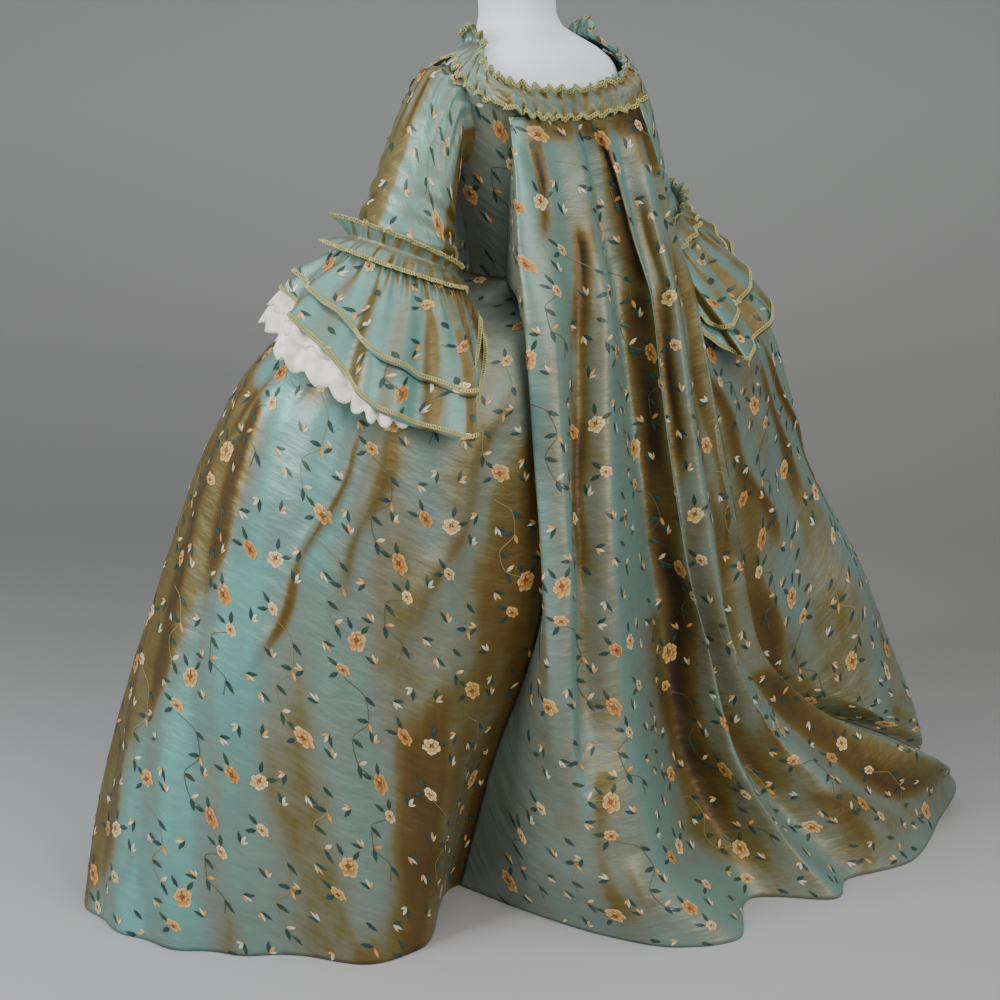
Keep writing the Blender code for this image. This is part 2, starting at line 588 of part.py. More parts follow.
def build_sleeve_ruffle(word, side):
    """The gathered band that covers the join of a sleeve and its flounces."""
    turns = np.arange(0, 360, 360 / (SLEEVE_RUFFLE_WAVES * 3))
    wave = 0.5 + 0.5 * np.cos(np.radians(turns) * SLEEVE_RUFFLE_WAVES)
    fan = 0.018 * np.exp(-((turns - 50) / 28) ** 2)
    inner = 1 - 0.8 * np.exp(-((turns - 262) / 52) ** 2)
    upper = sleeve(turns, SLEEVE_RUFFLE_EDGES[0], side, out=(0.010 + 0.010 * wave + fan)[:, None] * inner[:, None])
    middle = sleeve(turns, 0.965, side, out=0.0025)
    lower, away = flounce_sheet(turns, np.full_like(turns, SLEEVE_RUFFLE_EDGES[1]), side)
    lift = 0.005 + (0.008 * wave + fan) * inner
    lower = lower + away * lift[:, None]
    wall("sleeve_ruffle_" + word, [upper, middle, lower], TRIM, silk, gown, closed=True, flip=side > 0)


def build_ruffles():
    """The gathered ruffles round the neck and down the robe's front edges."""
    count = NECK_RUFFLE_WAVES * 3
    turns = np.linspace(72, 288, count + 1)
    wave = 0.5 + 0.5 * np.cos(np.linspace(0, NECK_RUFFLE_WAVES * 2 * math.pi, count + 1))
    folded = np.where(turns > 180, 360 - turns, turns)
    top = column(NECKLINE, 1, folded)
    side = np.where(turns > 180, -1.0, 1.0)
    lines = np.linspace(1, len(SACK_COLUMNS) - 2, 200)
    pleats = sack(lines, PLEAT_TOP)
    over_back = np.interp(-side * np.abs(torso_rows(folded, top)[:, 0]), -pleats[:, 0], pleats[:, 1])
    shoulder = 0.020 * np.exp(-((folded - 88) / 20) ** 2)
    rows = []
    for rise, lift, swing in NECK_RUFFLE_ROWS:
        heights = top + rise + shoulder
        points = np.array([torso(np.array(t), h, bodice_out(h) + lift + swing * w)
                           for t, h, w in zip(folded, heights, wave)])
        points[:, 0] *= side
        on_pleats = over_back + 0.0034 + TRIM + swing * wave
        covers = (np.abs(points[:, 0]) < 0.133) & (points[:, 1] > 0.03) & (rise < 0.01)
        points[:, 1] = np.where(covers, np.maximum(points[:, 1], on_pleats), points[:, 1])
        rows.append(points)
    wall("neck_ruffle", rows, TRIM, silk, gown, flip=False)
    count = FRONT_RUFFLE_WAVES * 3
    heights = np.linspace(1.352, WAIST + 0.012, count + 1)
    wave = 0.5 + 0.5 * np.cos(np.linspace(0, FRONT_RUFFLE_WAVES * 2 * math.pi, count + 1))
    for side, word in ((1, "left"), (-1, "right")):
        rows = []
        for spread, lift, swing in ((-6.0, 0.012, 0.007), (0.5, 0.0015, 0.0005), (9.0, 0.020, 0.012)):
            turns = column(FRONT_EDGE, 1, heights) + spread
            if spread > 1:
                lift = lift + FRONT_RUFFLE_STAND * np.exp(-((heights - 1.205) / 0.07) ** 2)
            out = bodice_out(heights) + lift + swing * wave
            points = np.array([torso(np.array(t), h, o) for t, h, o in zip(turns, heights, out)])
            rows.append(points * np.array([side, 1, 1]))
        wall("front_ruffle_" + word, rows, TRIM, silk, gown, flip=side > 0)


build_form()
build_petticoat()
build_skirts()
build_bodice()
build_sleeves()
build_ruffles()
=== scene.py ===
"""Looks of a sack-backed silk gown on a limbless dress form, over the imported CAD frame.

The tables and the functions that shape the cloth repeat the CAD part's, in metres. Here they
are read on finer grids, with the creases and the colour of the shot silk added, and the
embroidery, braid and lace are laid on those same grids.
"""

import math

import bmesh
import bpy
import numpy as np
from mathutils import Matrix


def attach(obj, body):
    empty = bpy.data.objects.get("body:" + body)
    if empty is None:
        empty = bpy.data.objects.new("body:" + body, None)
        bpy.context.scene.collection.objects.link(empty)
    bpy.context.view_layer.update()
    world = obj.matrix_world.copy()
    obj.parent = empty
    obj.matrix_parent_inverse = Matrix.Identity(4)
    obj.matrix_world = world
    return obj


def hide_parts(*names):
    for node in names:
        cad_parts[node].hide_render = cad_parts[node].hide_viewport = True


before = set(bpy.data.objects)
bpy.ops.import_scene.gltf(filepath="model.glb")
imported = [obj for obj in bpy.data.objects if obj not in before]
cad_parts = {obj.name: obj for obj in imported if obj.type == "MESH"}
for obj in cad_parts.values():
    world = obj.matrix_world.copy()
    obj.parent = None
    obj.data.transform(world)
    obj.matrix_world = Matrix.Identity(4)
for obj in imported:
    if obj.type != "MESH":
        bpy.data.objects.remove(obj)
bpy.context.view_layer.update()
rng = np.random.default_rng(7)

# driving sizes
CLOTH = 0.002            # silk with its lining
TRIM = 0.0015            # a single layer of silk, gathered
SEAM = 0.0003            # what parts two pieces along a seam
ON_FORM = 0.0022         # the bodice's inner face off the form
SHOULDER_EASE = 1.6      # how much more it stands off where the shoulders slope
WAIST = 1.02
HEM = 0.0015
PETTICOAT_HEM = 0.05
PLEAT_TOP = 1.29         # where the back pleats are sewn down
TORSO_POWER = 2.2        # how square the torso's sections are
FRONT_EDGE_HEM = 84.0    # degrees round the skirt to the robe's front edge at the hem

# dress form: height, half width, reach to the front, reach to the back
TORSO = (
    (0.860, 0.140, 0.120, 0.105),
    (0.950, 0.148, 0.122, 0.105),
    (1.020, 0.118, 0.112, 0.085),
    (1.100, 0.128, 0.138, 0.092),
    (1.200, 0.152, 0.185, 0.110),
    (1.260, 0.160, 0.180, 0.118),
    (1.310, 0.165, 0.146, 0.112),
    (1.350, 0.152, 0.108, 0.095),
    (1.375, 0.125, 0.080, 0.075),
    (1.395, 0.090, 0.090, 0.045),
)
# neck: height, radius, shift of its middle to the front
NECK = (
    (1.412, 0.070, 0.030),
    (1.435, 0.063, 0.036),
    (1.470, 0.063, 0.038),
    (1.495, 0.062, 0.038),
    (1.503, 0.052, 0.038),
)

# robe skirt: height, half width of the section
ROBE_WIDTH = (
    (1.020, 0.130), (1.012, 0.155), (1.000, 0.200), (0.985, 0.270), (0.970, 0.350),
    (0.950, 0.425), (0.920, 0.465), (0.865, 0.515), (0.800, 0.548), (0.720, 0.583),
    (0.640, 0.608), (0.560, 0.635), (0.480, 0.660), (0.400, 0.683), (0.320, 0.705),
    (0.240, 0.727), (0.160, 0.748), (0.080, 0.767), (0.000, 0.785),
)
ROBE_SHIFT = 0.15        # how far forward the widest point lies at the hem
ROBE_FRONT = 0.55        # reach to the front, of the half width
ROBE_BACK_WAIST = 0.46   # reach to the back, of the half width
ROBE_BACK_HEM = 0.60
WAIST_FRONT = 0.131      # least reach of the robe's skirt at the waist
WAIST_BACK = 0.107

# petticoat: height, half width, reach of its back from the middle plane
PETTICOAT = (
    (1.005, 0.1340, 0.0914), (0.990, 0.1700, 0.1060), (0.975, 0.2500, 0.1120),
    (0.955, 0.3600, 0.1170), (0.930, 0.4250, 0.1210), (0.890, 0.4750, 0.1240),
    (0.800, 0.5330, 0.1300), (0.640, 0.5950, 0.1380), (0.480, 0.6450, 0.1440),
    (0.320, 0.6850, 0.1500), (0.160, 0.7120, 0.1500), (0.050, 0.7300, 0.1500),
)

# folds of a side skirt, as degrees round from the front, each a soft ridge:
# turn at the hip, turn at the hem, half width at hip and hem, rise at hip, middle and hem
SIDE_FOLDS = (
    (38.0, 88.0, 5.0, 4.0, 0.008, 0.012, 0.010),
    (56.0, 100.0, 6.0, 5.0, 0.010, 0.014, 0.014),
    (74.0, 112.0, 6.0, 5.0, 0.010, 0.012, 0.016),
    (92.0, 124.0, 6.0, 4.0, 0.012, 0.016, 0.010),
    (112.0, 142.0, 7.0, 7.0, 0.012, 0.022, 0.048),
    (134.0, 156.0, 6.0, 5.0, 0.008, 0.010, 0.000),
)

# where the left side skirt turns in behind the back pleats:
# height, half-plane x where it starts to turn in, depth of the turn
NOTCH = (
    (1.02, 0.30, 0.000), (0.60, 0.32, 0.000), (0.50, 0.33, 0.012), (0.40, 0.34, 0.040),
    (0.25, 0.37, 0.090), (0.12, 0.40, 0.130), (0.00, 0.42, 0.165),
)

# the right side skirt runs out into the train: height, how far its back is drawn out
TRAIN_DRAW = (
    (1.02, 0.000), (0.66, 0.000), (0.50, 0.075), (0.40, 0.135), (0.27, 0.175), (0.19, 0.210),
    (0.10, 0.240), (0.00, 0.270),
)
TRAIN_DRAW_TURN = 118.0  # degrees round from the front to its middle
TRAIN_DRAW_WIDE = 22.0

# sack back and train: x of each fold line, by height
SACK_COLUMNS = ("seam_left", "edge_left", "ridge_1", "valley_1", "ridge_2", "valley_2",
                "ridge_3", "valley_3", "ridge_4", "valley_4", "edge_right", "seam_right")
SACK_X = (
    (1.29, 0.106, 0.130, 0.100, 0.065, 0.030, 0.000, -0.030, -0.065, -0.100, -0.118, -0.134, -0.106),
    (1.20, 0.106, 0.141, 0.096, 0.062, 0.020, -0.022, -0.052, -0.078, -0.110, -0.130, -0.150, -0.106),
    (1.10, 0.098, 0.153, 0.105, 0.060, 0.018, -0.040, -0.070, -0.092, -0.118, -0.142, -0.166, -0.098),
    (1.00, 0.096, 0.165, 0.124, 0.068, 0.028, -0.048, -0.078, -0.098, -0.124, -0.152, -0.184, -0.096),
    (0.80, 0.138, 0.180, 0.146, 0.098, 0.052, -0.048, -0.074, -0.096, -0.126, -0.158, -0.202, -0.150),
    (0.60, 0.150, 0.194, 0.164, 0.122, 0.080, -0.050, -0.080, -0.104, -0.134, -0.170, -0.220, -0.170),
    (0.40, 0.180, 0.210, 0.185, 0.145, 0.092, -0.078, -0.116, -0.138, -0.168, -0.202, -0.250, -0.215),
    (0.25, 0.214, 0.206, 0.190, 0.162, 0.096, -0.085, -0.130, -0.165, -0.230, -0.290, -0.370, -0.350),
    (0.12, 0.231, 0.216, 0.188, 0.150, 0.080, -0.108, -0.180, -0.230, -0.330, -0.440, -0.590, -0.600),
    (0.00, 0.245, 0.205, 0.155, 0.080, -0.015, -0.125, -0.244, -0.310, -0.430, -0.600, -0.765, -0.780),
)
# and y of the same fold lines; the two seams lie on the bodice and the side skirts
SACK_Y = (
    (1.29, 0.119, 0.130, 0.132, 0.131, 0.125, 0.131, 0.132, 0.130, 0.125, 0.115),
    (1.20, 0.150, 0.165, 0.158, 0.164, 0.130, 0.158, 0.145, 0.160, 0.152, 0.148),
    (1.10, 0.172, 0.192, 0.178, 0.192, 0.142, 0.184, 0.165, 0.186, 0.176, 0.172),
    (1.00, 0.205, 0.232, 0.208, 0.236, 0.170, 0.224, 0.200, 0.226, 0.212, 0.206),
    (0.80, 0.250, 0.280, 0.252, 0.285, 0.215, 0.272, 0.245, 0.275, 0.256, 0.250),
    (0.60, 0.296, 0.326, 0.300, 0.335, 0.262, 0.318, 0.288, 0.322, 0.300, 0.296),
    (0.40, 0.330, 0.360, 0.342, 0.370, 0.285, 0.352, 0.312, 0.356, 0.326, 0.320),
    (0.25, 0.330, 0.385, 0.400, 0.420, 0.318, 0.400, 0.345, 0.400, 0.350, 0.345),
    (0.12, 0.315, 0.400, 0.440, 0.465, 0.370, 0.470, 0.410, 0.460, 0.425, 0.445),
    (0.00, 0.275, 0.404, 0.510, 0.550, 0.462, 0.547, 0.510, 0.530, 0.450, 0.318),
)

# bodice: degrees round from the front, height of the neckline there
NECKLINE = ((48.0, 1.270), (58.0, 1.335), (70.0, 1.360), (90.0, 1.368), (105.0, 1.360),
            (120.0, 1.341), (140.0, 1.316), (160.0, 1.302), (180.0, 1.297))
# height, degrees round from the front to the robe's front edge
FRONT_EDGE = ((1.02, 23.0), (1.10, 35.0), (1.20, 49.0), (1.28, 54.0), (1.34, 61.0), (1.36, 69.0))
BODICE_ROWS = (1.021, 1.060, 1.100, 1.150, 1.200, 1.240, 1.275, 1.318, 1.360)
STOMACHER_ROWS = 7       # of these, up to its top edge
STOMACHER_IN = 0.25      # degrees it stops short of the fronts
SIDE_SEAM = 0.08         # degrees each panel stops short of a seam
ARMHOLE = (1.272, 0.052, 0.076)          # height of its middle, half width, half height

# sleeve, left: share of its length, middle x, y, z, puff of the section
SLEEVE = (
    (0.00, 0.150, 0.000, 1.276, 1.00),
    (0.10, 0.176, 0.000, 1.277, 1.06),
    (0.25, 0.200, 0.002, 1.242, 1.12),
    (0.50, 0.226, 0.007, 1.180, 1.06),
    (0.75, 0.248, 0.013, 1.120, 1.00),
    (1.00, 0.268, 0.020, 1.066, 1.00),
)
SLEEVE_FRONT = ((0.000, -0.057, 0.000), (0.012, -0.080, 0.005))   # start, end
SLEEVE_OUTER = ((0.000, 0.000, 0.081), (0.074, -0.008, 0.030))
RIGHT_ARM_IN = 0.040     # the right arm hangs this much nearer the body
RIGHT_HEM_IN = 0.030     # and the foot of its flounces by this much
RIGHT_REACH = (0.84, 0.84, 0.60)   # its three tiers, as shares of the left ones' length
HEAD_FOLDS = 9           # gathers round the sleeve's head
HEAD_FOLD_RISE = 0.004

# sheet of the flounces, left: degrees round the sleeve from its front, x, y, z at its foot,
# then how far down it the upper flounce, the lower one and the lace reach
FLOUNCE = (
    (0.0, 0.335, -0.170, 1.004, 0.64, 0.88, 1.42),
    (45.0, 0.392, -0.130, 0.992, 0.60, 0.84, 1.40),
    (90.0, 0.474, 0.035, 0.958, 0.52, 0.78, 1.14),
    (135.0, 0.416, 0.170, 0.876, 0.66, 0.98, 1.08),
    (180.0, 0.318, 0.234, 0.840, 0.73, 1.00, 0.84),
    (225.0, 0.256, 0.212, 0.900, 0.74, 0.98, 0.60),
    (250.0, 0.224, 0.166, 0.945, 0.80, 0.96, 0.66),
    (288.0, 0.225, -0.070, 0.975, 0.80, 1.00, 1.00),
    (318.0, 0.272, -0.112, 0.995, 0.72, 0.94, 1.20),
)
FLOUNCE_TURNS = (-72.0, 240.0)            # they die away at the inside of the elbow
FLUTES = 8
FLUTE_RISE = 0.015
TIER_STEP = (0.0030, 0.0050)   # from one tier of flounces to the next, at top and lower down
SLEEVE_RUFFLE_WAVES = 14
NECK_RUFFLE_WAVES = 22
FRONT_RUFFLE_WAVES = 11
FRONT_RUFFLE_STAND = 0.034   # how much more its outer edge stands out at the bust
SLEEVE_RUFFLE_EDGES = (0.89, 0.07)       # how far down the sleeve it starts, and down the flounces ends

# creases of a side skirt: top and foot, degrees round at each, half width in degrees, rise,
# and how much painted shade, in brown, lies on the side turned from the light
CREASES = (
    (0.90, 0.44, 129.0, 115.5, 2.0, 0.0065, 0.30),
    (0.88, 0.54, 135.0, 128.5, 2.8, 0.0075, 0.30),
    (0.90, 0.48, 156.5, 141.5, 3.0, 0.0070, 0.26),
    (0.97, 0.76, 96.0, 84.0, 2.2, 0.0060, 0.26),
    (0.98, 0.80, 84.0, 70.0, 2.4, 0.0060, 0.26),
    (0.97, 0.82, 112.0, 106.0, 2.0, 0.0045, 0.18),
    (0.56, 0.02, 108.0, 104.0, 4.2, 0.0040, 0.00),
    (0.44, 0.01, 126.0, 126.0, 4.6, 0.0050, 0.03),
    (0.36, 0.01, 117.0, 116.0, 3.4, 0.0030, 0.00),
    (0.52, 0.01, 98.0, 96.0, 2.4, 0.0030, 0.06),
    (0.70, 0.10, 150.0, 149.0, 2.6, 0.0050, 0.10),
)
# a side skirt's painted light and shade: its plain grey, a teal painted highlight band where the light
# falls, and painted shade in brown past its edges and in its creases
SKIRT_GREY = 0.48
SKIRT_PAINTED_HIGHLIGHT = 0.30
SKIRT_PAINTED_SHADE_FRONT = 0.30
SKIRT_PAINTED_SHADE_BACK = 0.25
CREASE_PAINTED_SHADE = 0.74
# where the side skirt's shade begins towards its front and its back: height, degrees round
SHADE_FRONT = ((1.02, 60.0), (0.90, 80.0), (0.85, 99.0), (0.77, 103.0), (0.69, 104.0),
               (0.58, 99.0), (0.45, 97.0), (0.30, 90.0), (0.14, 92.0), (0.0, 89.0))
SHADE_BACK = ((1.02, 166.0), (0.82, 162.0), (0.75, 157.0), (0.56, 153.0), (0.46, 152.0),
              (0.40, 147.0), (0.31, 144.0), (0.14, 144.0), (0.0, 140.0))
SHADE_SLEEVE = 146.0     # degrees round a sleeve to the side that takes the light
WAIST_JOIN = 1.0235      # height at which the skirts are sewn to the bodice
SKIRT_OVER = 0.0014      # the side skirts' tops lie this far over the bodice
PETTICOAT_OVER = -0.0012 # and the petticoat's lies under it

# creases of the sack back, as above, with the fold lines counted from the left seam
SACK_CREASES = (
    (1.275, 1.08, 1.70, 2.10, 0.34, -0.010, 0.34),
    (1.270, 0.98, 5.75, 5.50, 0.42, -0.016, 0.38),
    (1.080, 0.46, 5.50, 5.40, 0.50, -0.010, 0.34),
    (0.560, 0.03, 5.40, 4.40, 0.55, -0.010, 0.30),
    (1.060, 0.50, 9.00, 9.80, 0.40, -0.008, 0.34),
    (0.620, 0.14, 9.60, 7.30, 0.50, -0.010, 0.30),
    (1.140, 0.56, 3.40, 2.90, 0.32, -0.005, 0.30),
    (0.640, 0.22, 3.00, 2.60, 0.30, -0.004, 0.20),
    (1.160, 0.66, 7.50, 7.20, 0.34, -0.006, 0.30),
    (1.240, 0.86, 4.40, 4.20, 0.30, 0.004, 0.00),
    (0.240, 0.01, 8.60, 7.30, 0.45, 0.010, 0.22),
    (0.180, 0.01, 9.70, 9.10, 0.40, 0.008, 0.18),
    (0.160, 0.01, 3.50, 3.00, 0.40, 0.008, 0.20),
    (0.220, 0.01, 6.50, 6.00, 0.40, -0.010, 0.26),
)

# painted shade bands, in brown, along the folds of the sack back: top and foot, fold line at each,
# half width, strength
SACK_SHADE_BANDS = (
    (1.27, 1.08, 1.95, 1.95, 0.22, 0.36), (1.12, 0.90, 3.60, 2.85, 0.26, 0.30),
    (0.92, 0.58, 2.85, 3.05, 0.24, 0.28), (1.27, 1.00, 6.00, 5.60, 0.30, 0.45),
    (1.02, 0.25, 5.50, 5.15, 0.26, 0.32), (1.02, 0.70, 7.40, 7.20, 0.20, 0.26),
    (1.10, 0.50, 8.60, 8.90, 0.40, 0.30), (1.30, 1.16, 8.60, 9.40, 1.00, 0.30),
    (0.60, 0.12, 6.50, 7.20, 0.30, 0.30), (0.50, 0.02, 4.80, 5.20, 0.34, 0.30),
    (0.36, 0.04, 9.40, 9.00, 0.50, 0.30), (0.30, 0.02, 3.20, 2.40, 0.30, 0.20),
    (0.16, 0.0, 8.00, 8.40, 0.60, 0.22), (1.02, 0.20, 10.40, 10.60, 0.50, 0.26),
)

# shot silk from its teal weft to its brown warp, by the tone painted on the cloth; that tone is
# painted light and shade, teal where the light falls and brown in shade
SILK_COLOURS = ((0.08, "6DA8A0"), (0.26, "6C938A"), (0.43, "74857B"), (0.54, "757865"),
                (0.63, "6B6237"), (0.75, "604B1C"), (1.0, "332410"))
# sleeve and flounce painted shade: degrees away from the lit side where the brown shade begins
SLEEVE_SHADE_FROM = 34.0
FLOUNCE_SHADE_FROM = 45.0
LACE_THICK = 0.0007
RUFFLE_THICK = 0.0010
RUFFLE_LINES = 13        # rows across a ruffle's width

# gimp braid: length of one crossing, half its width, half the thickness of a strand
BRAID_PITCH = 0.0080
BRAID_HALF = 0.0036
BRAID_THREAD = 0.0010
BRAID_COLOUR = "B4B272"

# one repeat of the embroidery, in millimetres across and down
REPEAT_SIZE = (0.28, 0.36)
STEMS = (
    (((30, 20), (62, 50), (66, 92), (40, 128), (52, 166), (84, 186)), "8C8A5C"),
    (((150, 62), (186, 80), (196, 118), (170, 152), (182, 190), (214, 206)), "5E5A38"),
    (((88, 232), (124, 246), (134, 282), (112, 316), (128, 346), (158, 352)), "8C8A5C"),
    (((236, 262), (206, 282), (208, 316), (238, 336), (236, 362)), "5E5A38"),
)
# x, y, width, turn, kind
FLOWERS = (
    (90, 190, 36, 0.3, 0), (220, 210, 33, 1.2, 2), (164, 356, 37, 2.0, 0), (20, 292, 32, 2.6, 1),
    (256, 120, 30, 0.9, 2), (24, 12, 23, 0.6, 1), (146, 52, 24, 0.2, 0), (238, 256, 22, 1.4, 1),
)
# x, y, turn
SPRIGS = (
    (110, 22, 0.6), (262, 36, 2.1), (14, 150, 1.2), (112, 120, 3.6), (60, 316, 5.0), (200, 24, 4.2),
    (268, 310, 0.4), (172, 262, 2.8), (130, 160, 1.9), (20, 220, 5.4), (190, 320, 3.9),
    (64, 262, 2.4), (232, 72, 0.2), (84, 84, 2.9), (206, 150, 5.0), (100, 276, 0.9), (30, 90, 4.6),
    (140, 196, 4.4), (270, 226, 5.2),
)
FLOWER_COLOURS = (("E3C68E", "C98B3A", "6A3814"), ("EEE2C2", "D6A858", "84491B"),
                  ("D9AE68", "B8722C", "5C3010"))
# angle, reach and half spread of a flower's petals, the upper ones larger
PETALS = ((-0.20, 0.50, 0.50), (0.85, 0.43, 0.52), (1.90, 0.42, 0.54), (2.95, 0.47, 0.52),
          (4.00, 0.53, 0.54), (5.05, 0.55, 0.56))
INNER_PETALS = ((0.3, 0.27, 0.62), (1.7, 0.24, 0.62), (3.4, 0.28, 0.66), (4.9, 0.30, 0.66))
LEAF_COLOURS = (("20453F", "142F2C"), ("2C4A33", "1B3324"))
BUD_COLOURS = (("E2D8B8", "BFA56C"), ("DFA85E", "B7742E"), ("DBDFCB", "99A284"))
THREAD_RISE = 0.0009     # how far a stitch stands off the silk
LEAF_LENGTH = 0.022
STEM_HALF = 0.0007

# the picture's camera: its place, where it looks, its lens in millimetres
CAMERA_PLACE = (2.04617, 2.71536, 1.70)
CAMERA_AHEAD = (-0.561987, -0.768818, -0.305106)
CAMERA_LENS = 74.18
CAMERA_TURN = math.radians(143)
# name, place, aim, watts, size, colour
LIGHTS = (
    ("key", (2.9, -0.35, 2.3), (0.1, 0.1, 0.7), 86.0, 1.3, "FFFFFF"),
    ("fill", (0.3, 3.1, 2.3), (0.0, 0.1, 0.7), 74.0, 2.0, "FFF6EA"),
    ("top", (0.0, 0.2, 3.6), (0.0, 0.0, 0.0), 40.0, 2.2, "FFFFFF"),
)
# backdrop: reach of its floor to the front, where it starts to rise behind, and its bend
STAGE_FRONT = 4.5
STAGE_BACK = -1.6
STAGE_BEND = 1.4
STAGE_HIGH = 4.5
STAGE_HALF = 5.0
ROOM_COLOUR = "C9CDD0"
ROOM_STRENGTH = 0.58
# painted light falloff: darker along the floor away from the camera, then changing up the backdrop
FLOOR_FADE = 0.30
FLOOR_START = 0.20
FLOOR_END = 0.62
BACKDROP_FALLOFF_COLOURS = ((0.05, "A4A5A9"), (0.20, "A0A1A4"), (0.33, "949596"), (0.46, "898A89"),
                    (0.62, "848583"), (0.69, "868786"), (0.74, "8D8E8D"), (0.90, "939796"),
                    (1.0, "909594"))


def smooth(keys, values, at):
    """Reads a table's column at any key, on a curve that never overshoots the table."""
    keys, values = np.asarray(keys, float), np.asarray(values, float)
    if keys[0] > keys[-1]:
        keys, values = keys[::-1], values[::-1]
    at = np.clip(np.asarray(at, float), keys[0], keys[-1])
    step = np.diff(keys)
    slope = np.diff(values) / step
    tangent = np.empty_like(values)
    product = slope[:-1] * slope[1:]
    total = np.where(product > 0, slope[:-1] + slope[1:], 1.0)
    tangent[1:-1] = np.where(product > 0, 2 * product / total, 0.0)
    tangent[0], tangent[-1] = slope[0], slope[-1]
    i = np.clip(np.searchsorted(keys, at, side="right") - 1, 0, len(keys) - 2)
    t = (at - keys[i]) / step[i]
    return (values[i] * (2 * t**3 - 3 * t**2 + 1) + values[i + 1] * (3 * t**2 - 2 * t**3)
            + step[i] * (tangent[i] * (t**3 - 2 * t**2 + t) + tangent[i + 1] * (t**3 - t**2)))


def column(table, index, at):
    """A table's column at a key, where the key is the table's first column."""
    return smooth([row[0] for row in table], [row[index] for row in table], at)


def around(table, index, turn):
    """The same for a table that runs once round, in degrees."""
    keys = [row[0] for row in table]
    values = [row[index] for row in table]
    keys = [keys[-2] - 360, keys[-1] - 360] + keys + [keys[0] + 360, keys[1] + 360]
    values = values[-2:] + values + values[:2]
    return smooth(keys, values, np.mod(turn, 360.0))


def ease(t):
    """Rises smoothly from 0 to 1."""
    t = np.clip(t, 0.0, 1.0)
    return t * t * (3 - 2 * t)


def skirt_section(z):
    """Half width, shift forward, and reach to front and back of the robe's skirt."""
    half = column(ROBE_WIDTH, 1, z)
    fall = 1 - z / WAIST
    shift = -ROBE_SHIFT * fall
    front = np.maximum(ROBE_FRONT * half, WAIST_FRONT)
    back = np.maximum((ROBE_BACK_WAIST + (ROBE_BACK_HEM - ROBE_BACK_WAIST) * fall) * half, WAIST_BACK)
    return half, shift, front, back


def skirt_folds(turn, z):
    """How far the side skirt's folds stand out from its plain section."""
    fall = 1 - z / WAIST
    rise = 0.0
    for hip, hem, wide_hip, wide_hem, rise_hip, rise_middle, rise_hem in SIDE_FOLDS:
        middle = hip + (hem - hip) * fall
        wide = wide_hip + (wide_hem - wide_hip) * fall
        height = smooth((0.0, 0.5, 0.9, WAIST), (rise_hem, rise_middle, rise_hip, 0.0), z)
        rise = rise + height * np.exp(-((turn - middle) / wide) ** 2)
    return rise


def crease_rise(turn, z):
    """Rise of the narrow creases of a side skirt, and the painted shade, in brown, on their sides."""
    rise, painted_shade = np.zeros_like(turn), np.zeros_like(turn)
    for top, low, at_top, at_low, wide, depth, tone in CREASES:
        ends = ease((top - z) / 0.10) * ease((z - low) / 0.10)
        share = np.clip((top - z) / (top - low), 0, 1)
        line = at_top + (at_low - at_top) * share + 1.1 * np.sin(z * 31 + at_top)
        off = (turn - line) / wide
        rise = rise + depth * ends * np.exp(-np.abs(off) ** 1.6)
        # painted shade, in brown, on the side of each crease turned from the light
        painted_shade = painted_shade + tone * ends * np.exp(-((off - 0.5) / 0.62) ** 2)
    return rise, painted_shade


def side_skirt(u, z, side):
    """Row of a side skirt, u from its front edge (0) to its back seam (1), and its turns."""
    half, shift, front, back = skirt_section(z)
    seam_x = abs(column(SACK_X, 1 if side > 0 else len(SACK_COLUMNS), z))
    start = FRONT_EDGE[0][1] + 3 + (FRONT_EDGE_HEM - FRONT_EDGE[0][1] - 3) * (1 - z / WAIST) ** 0.9
    end = 180 - math.degrees(math.asin(min(seam_x / half, 1.0)))
    turn = start + (end - start) * u
    angle = np.radians(turn)
    x = half * np.sin(angle)
    y = np.where(turn < 90, shift - front * np.cos(angle), shift - back * np.cos(angle))
    normal = np.stack([np.sin(angle) / half, -np.cos(angle) / np.where(turn < 90, front, back)], -1)
    normal /= np.linalg.norm(normal, axis=-1, keepdims=True)
    rise = (skirt_folds(turn, z) + crease_rise(turn, z)[0]) * ease((1 - u) / 0.10)
    x = x + normal[..., 0] * rise
    y = y + normal[..., 1] * rise
    if side > 0:
        opening, depth = column(NOTCH, 1, z), column(NOTCH, 2, z)
        y = y - depth * ease((opening - x) / (opening - seam_x))
    else:
        drawn = np.exp(-((turn - TRAIN_DRAW_TURN) / TRAIN_DRAW_WIDE) ** 2)
        y = y + column(TRAIN_DRAW, 1, z) * drawn * ease((turn - 80) / 30)
    return np.stack([side * x, y, np.full_like(x, z)], -1), turn


def torso(turn, z, out):
    """Point of the form's section, moved out; turn is degrees round from the front."""
    half, front, back = (column(TORSO, i, z) + out for i in (1, 2, 3))
    angle = np.radians(turn)
    power = 2 / TORSO_POWER
    sine, cosine = np.sin(angle), np.cos(angle)
    x = half * np.sign(sine) * np.abs(sine) ** power
    y = -np.where(cosine > 0, front, back) * np.sign(cosine) * np.abs(cosine) ** power
    return np.stack([x, y, np.zeros_like(x) + z], -1)


def torso_back(x, z, out):
    """The y of the torso's back at a given x."""
    half, back = column(TORSO, 1, z) + out, column(TORSO, 3, z) + out
    return back * (1 - (abs(x) / half) ** TORSO_POWER) ** (1 / TORSO_POWER)


def torso_side(y, z, out):
    """The x of the torso's left side at a given y."""
    half = column(TORSO, 1, z) + out
    reach = np.where(y < 0, column(TORSO, 2, z), column(TORSO, 3, z)) + out
    return half * (1 - (np.abs(y) / reach) ** TORSO_POWER) ** (1 / TORSO_POWER)


def bodice_out(z):
    """The bodice's outer face off the form, measured level; more where the shoulder slopes."""
    return (ON_FORM + CLOTH) * (1 + SHOULDER_EASE * ease((z - 1.27) / 0.07))


